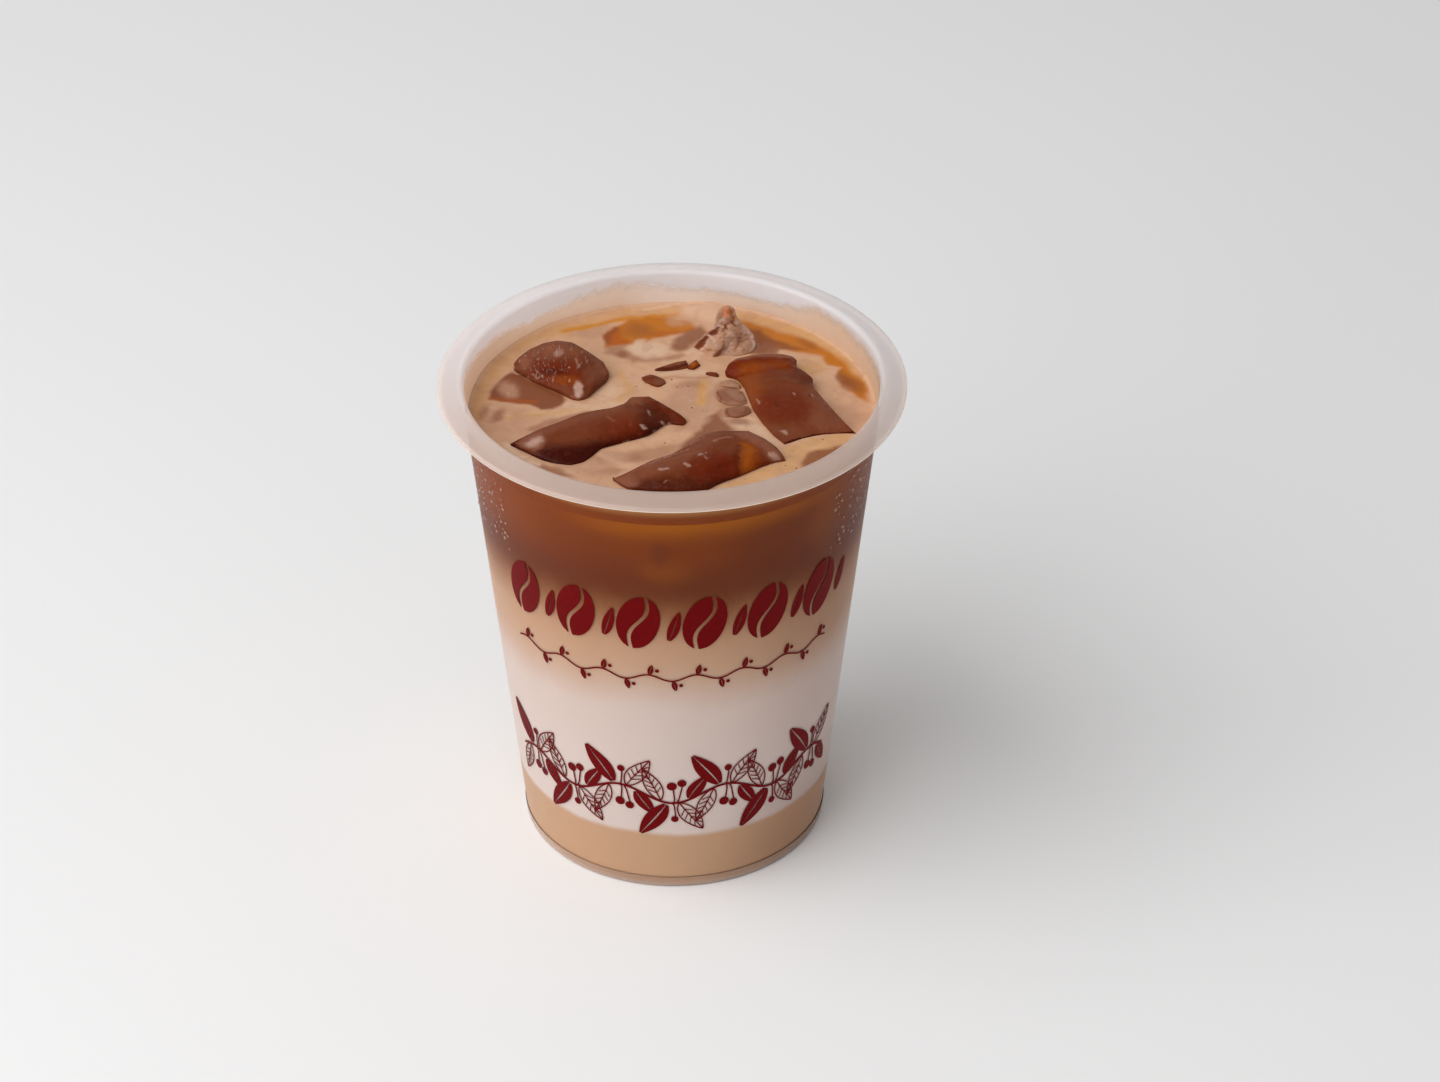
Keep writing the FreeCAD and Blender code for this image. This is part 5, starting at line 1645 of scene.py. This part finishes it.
def row_on_wall():
    """Repeats a flat motif in a row, flips every second one and bends the row on to the wall."""
    rule = Rule("row_on_wall")
    rule.ask("Motif", "NodeSocketGeometry")
    rule.ask("Count", "NodeSocketInt")
    for name in ("Gap", "Flip", "Height", "Reference", "Foot radius", "Slope", "Lift"):
        rule.ask(name, "NodeSocketFloat")
    rule.ask("Ink", "NodeSocketMaterial")
    rule.begin()
    count, gap = rule.given("Count"), rule.given("Gap")
    start = rule.join((count - 1) * gap * -0.5, 0.0, 0.0)
    line = rule.node("GeometryNodeMeshLine", {"mode": "OFFSET"},
                     {"Count": count, "Start Location": start, "Offset": rule.join(gap, 0.0, 0.0)})
    odd = rule.math("MODULO", rule.out(rule.node("GeometryNodeInputIndex")), 2.0)
    size = rule.join(1.0, 1 - odd * 2 * rule.given("Flip"), 1.0)
    row = rule.node("GeometryNodeInstanceOnPoints", inputs={
        "Points": rule.out(line), "Instance": rule.given("Motif"), "Scale": size})
    real = rule.node("GeometryNodeRealizeInstances", inputs={0: rule.out(row)})
    x, y, z = rule.split(rule.out(rule.node("GeometryNodeInputPosition")))
    angle = x / rule.given("Reference")
    height = y + rule.given("Height")
    radius = rule.given("Foot radius") + height * rule.given("Slope") + z + rule.given("Lift")
    bent = rule.join(radius * rule.math("SINE", angle), radius * rule.math("COSINE", angle) * -1,
                     height)
    moved = rule.node("GeometryNodeSetPosition", inputs={"Geometry": rule.out(real),
                                                         "Position": bent})
    inked = rule.node("GeometryNodeSetMaterial", inputs={"Geometry": rule.out(moved),
                                                         "Material": rule.given("Ink")})
    rule.end(rule.out(inked))
    return rule


def printing_ink(look):
    """Dark red ink with a little unevenness where it is thin."""
    paint = Finish("printing_ink", Roughness=0.45, Specular_IOR_Level=0.04)
    thin = paint.noise(paint.place(), 1.2)
    lit = srgb(140, 18, 10)
    paint.set("Base Color", paint.mix(paint.step(thin, 0.5, 0.8) * 0.3, look.ink, lit))
    paint.set("Roughness", 0.36 + thin * 0.15)
    return paint.material


class LATTE_OT_print(bpy.types.Operator):
    """Prints a row of beans, a thin wavy line and a garland of coffee leaves on the wall"""
    bl_idname = "latte.print"
    bl_label = "Print"

    def execute(self, context):
        look = context.scene.latte_print
        ink = printing_ink(look)
        rule = row_on_wall()
        beans = bean_slabs((0.0, 0.0), -14) + leaf_slabs((6.1, -4.6), 68, 8.4, 1.2, 0.7)
        wave, arch = 4.9, 11.2
        rows = {
            # name: motif, how many, gap, whether every second is flipped, height, wall's radius
            "print_beans": (beans, look.beans, look.bean_gap, 0.0, look.bean_height, 39.6),
            "print_wave": (wave_slabs(wave), look.waves, wave * MM, 1.0, 57.3 * MM, 38.2),
            "print_garland": (sprig_slabs(arch), look.sprigs, arch * MM, 1.0,
                              look.sprig_height, 35.0),
        }
        for name, (slabs, count, gap, flip, height, reference) in rows.items():
            piece = make_piece(name, *joined(slabs), ink, smooth=False)
            rule.apply(piece, {
                "Count": count, "Gap": gap, "Flip": flip, "Height": height,
                "Reference": reference * MM, "Foot radius": outer_radius(0.0) * MM,
                "Slope": INNER_SLOPE, "Lift": look.lift, "Ink": ink})
            hand_over(piece, "cup")
        return {"FINISHED"}


# ---------------------------------------------------------------------------------------------
# Stage
# ---------------------------------------------------------------------------------------------


def aim(item, place, target):
    """Puts a lamp or the camera at a place and points it at a target."""
    item.location = place
    item.rotation_euler = (Vector(target) - Vector(place)).to_track_quat("-Z", "Y").to_euler()


def polar(azimuth, elevation, distance):
    """A place round the cup. Azimuth 0 is in front and 90 is on the right."""
    turn, tilt = math.radians(azimuth), math.radians(elevation)
    flat = distance * math.cos(tilt)
    return Vector((flat * math.sin(turn), -flat * math.cos(turn), distance * math.sin(tilt)))


FLOOR_REACH = 6000.0  # half the floor's width
LAMP_CENTRE = Vector((0.0, 0.0, 50.0)) * MM
LAMP_PLACE = LAMP_CENTRE + polar(-58, 46, 1.1)
LAMP_SIZE = 1.3
CAMERA_TARGET = Vector((9.684, 0.0, 65.524)) * MM
CAMERA_PLACE = CAMERA_TARGET + polar(0, 33.45, 1.03142)


class LATTE_OT_stage(bpy.types.Operator):
    """Adds the floor, the light and the camera"""
    bl_idname = "latte.stage"
    bl_label = "Stage"

    def execute(self, context):
        look = context.scene.latte_stage
        pale = Finish("pale_floor", Base_Color=look.floor, Roughness=0.8, Specular_IOR_Level=0.2)
        corners = [(x * FLOOR_REACH, y * FLOOR_REACH, 0.0)
                   for x, y in ((-1, -1), (1, -1), (1, 1), (-1, 1))]
        make_piece("floor", corners, [(0, 1, 2, 3)], pale.material)

        world = bpy.data.worlds.new("studio")
        world.use_nodes = True
        background = world.node_tree.nodes["Background"]
        background.inputs["Color"].default_value = (1.0, 1.0, 1.0, 1.0)
        background.inputs["Strength"].default_value = look.world
        context.scene.world = world

        light = bpy.data.lights.new("key", "AREA")
        light.size = LAMP_SIZE
        light.energy = look.key
        lamp = bpy.data.objects.new("key", light)
        context.scene.collection.objects.link(lamp)
        aim(lamp, LAMP_PLACE, LAMP_CENTRE)

        view = bpy.data.cameras.new("camera")
        view.lens = look.lens
        view.sensor_width = 36.0
        camera = bpy.data.objects.new("camera", view)
        context.scene.collection.objects.link(camera)
        aim(camera, CAMERA_PLACE, CAMERA_TARGET)
        context.scene.camera = camera
        context.scene.view_settings.view_transform = "Standard"
        return {"FINISHED"}


# ---------------------------------------------------------------------------------------------
# Panel and registration
# ---------------------------------------------------------------------------------------------

PIECES = (LATTE_OT_cup, LATTE_OT_drink, LATTE_OT_surface, LATTE_OT_film, LATTE_OT_ice,
          LATTE_OT_beads, LATTE_OT_print, LATTE_OT_stage)
LOOKS = {"latte_cup": CupLook, "latte_drink": DrinkLook, "latte_ice": IceLook,
         "latte_print": PrintLook, "latte_stage": StageLook}


class LATTE_PT_panel(bpy.types.Panel):
    """Lists the pieces of the iced latte"""
    bl_idname = "LATTE_PT_panel"
    bl_label = "Iced Latte"
    bl_space_type = "VIEW_3D"
    bl_region_type = "UI"
    bl_category = "Iced Latte"

    def draw(self, context):
        for piece in PIECES:
            self.layout.operator(piece.bl_idname)
        for key, group in LOOKS.items():
            box = self.layout.box()
            for name in group.__annotations__:
                box.prop(getattr(context.scene, key), name)


def register():
    for group in LOOKS.values():
        bpy.utils.register_class(group)
    for key, group in LOOKS.items():
        setattr(bpy.types.Scene, key, PointerProperty(type=group))
    for piece in PIECES:
        bpy.utils.register_class(piece)
    bpy.utils.register_class(LATTE_PT_panel)


def unregister():
    bpy.utils.unregister_class(LATTE_PT_panel)
    for piece in reversed(PIECES):
        bpy.utils.unregister_class(piece)
    for key, group in LOOKS.items():
        delattr(bpy.types.Scene, key)
        bpy.utils.unregister_class(group)


def main():
    register()
    bpy.ops.latte.cup()
    bpy.ops.latte.drink()
    bpy.ops.latte.surface()
    bpy.ops.latte.film()
    bpy.ops.latte.ice()
    bpy.ops.latte.beads()
    bpy.ops.latte.print()
    bpy.ops.latte.stage()


if __name__ == "__main__":
    main()
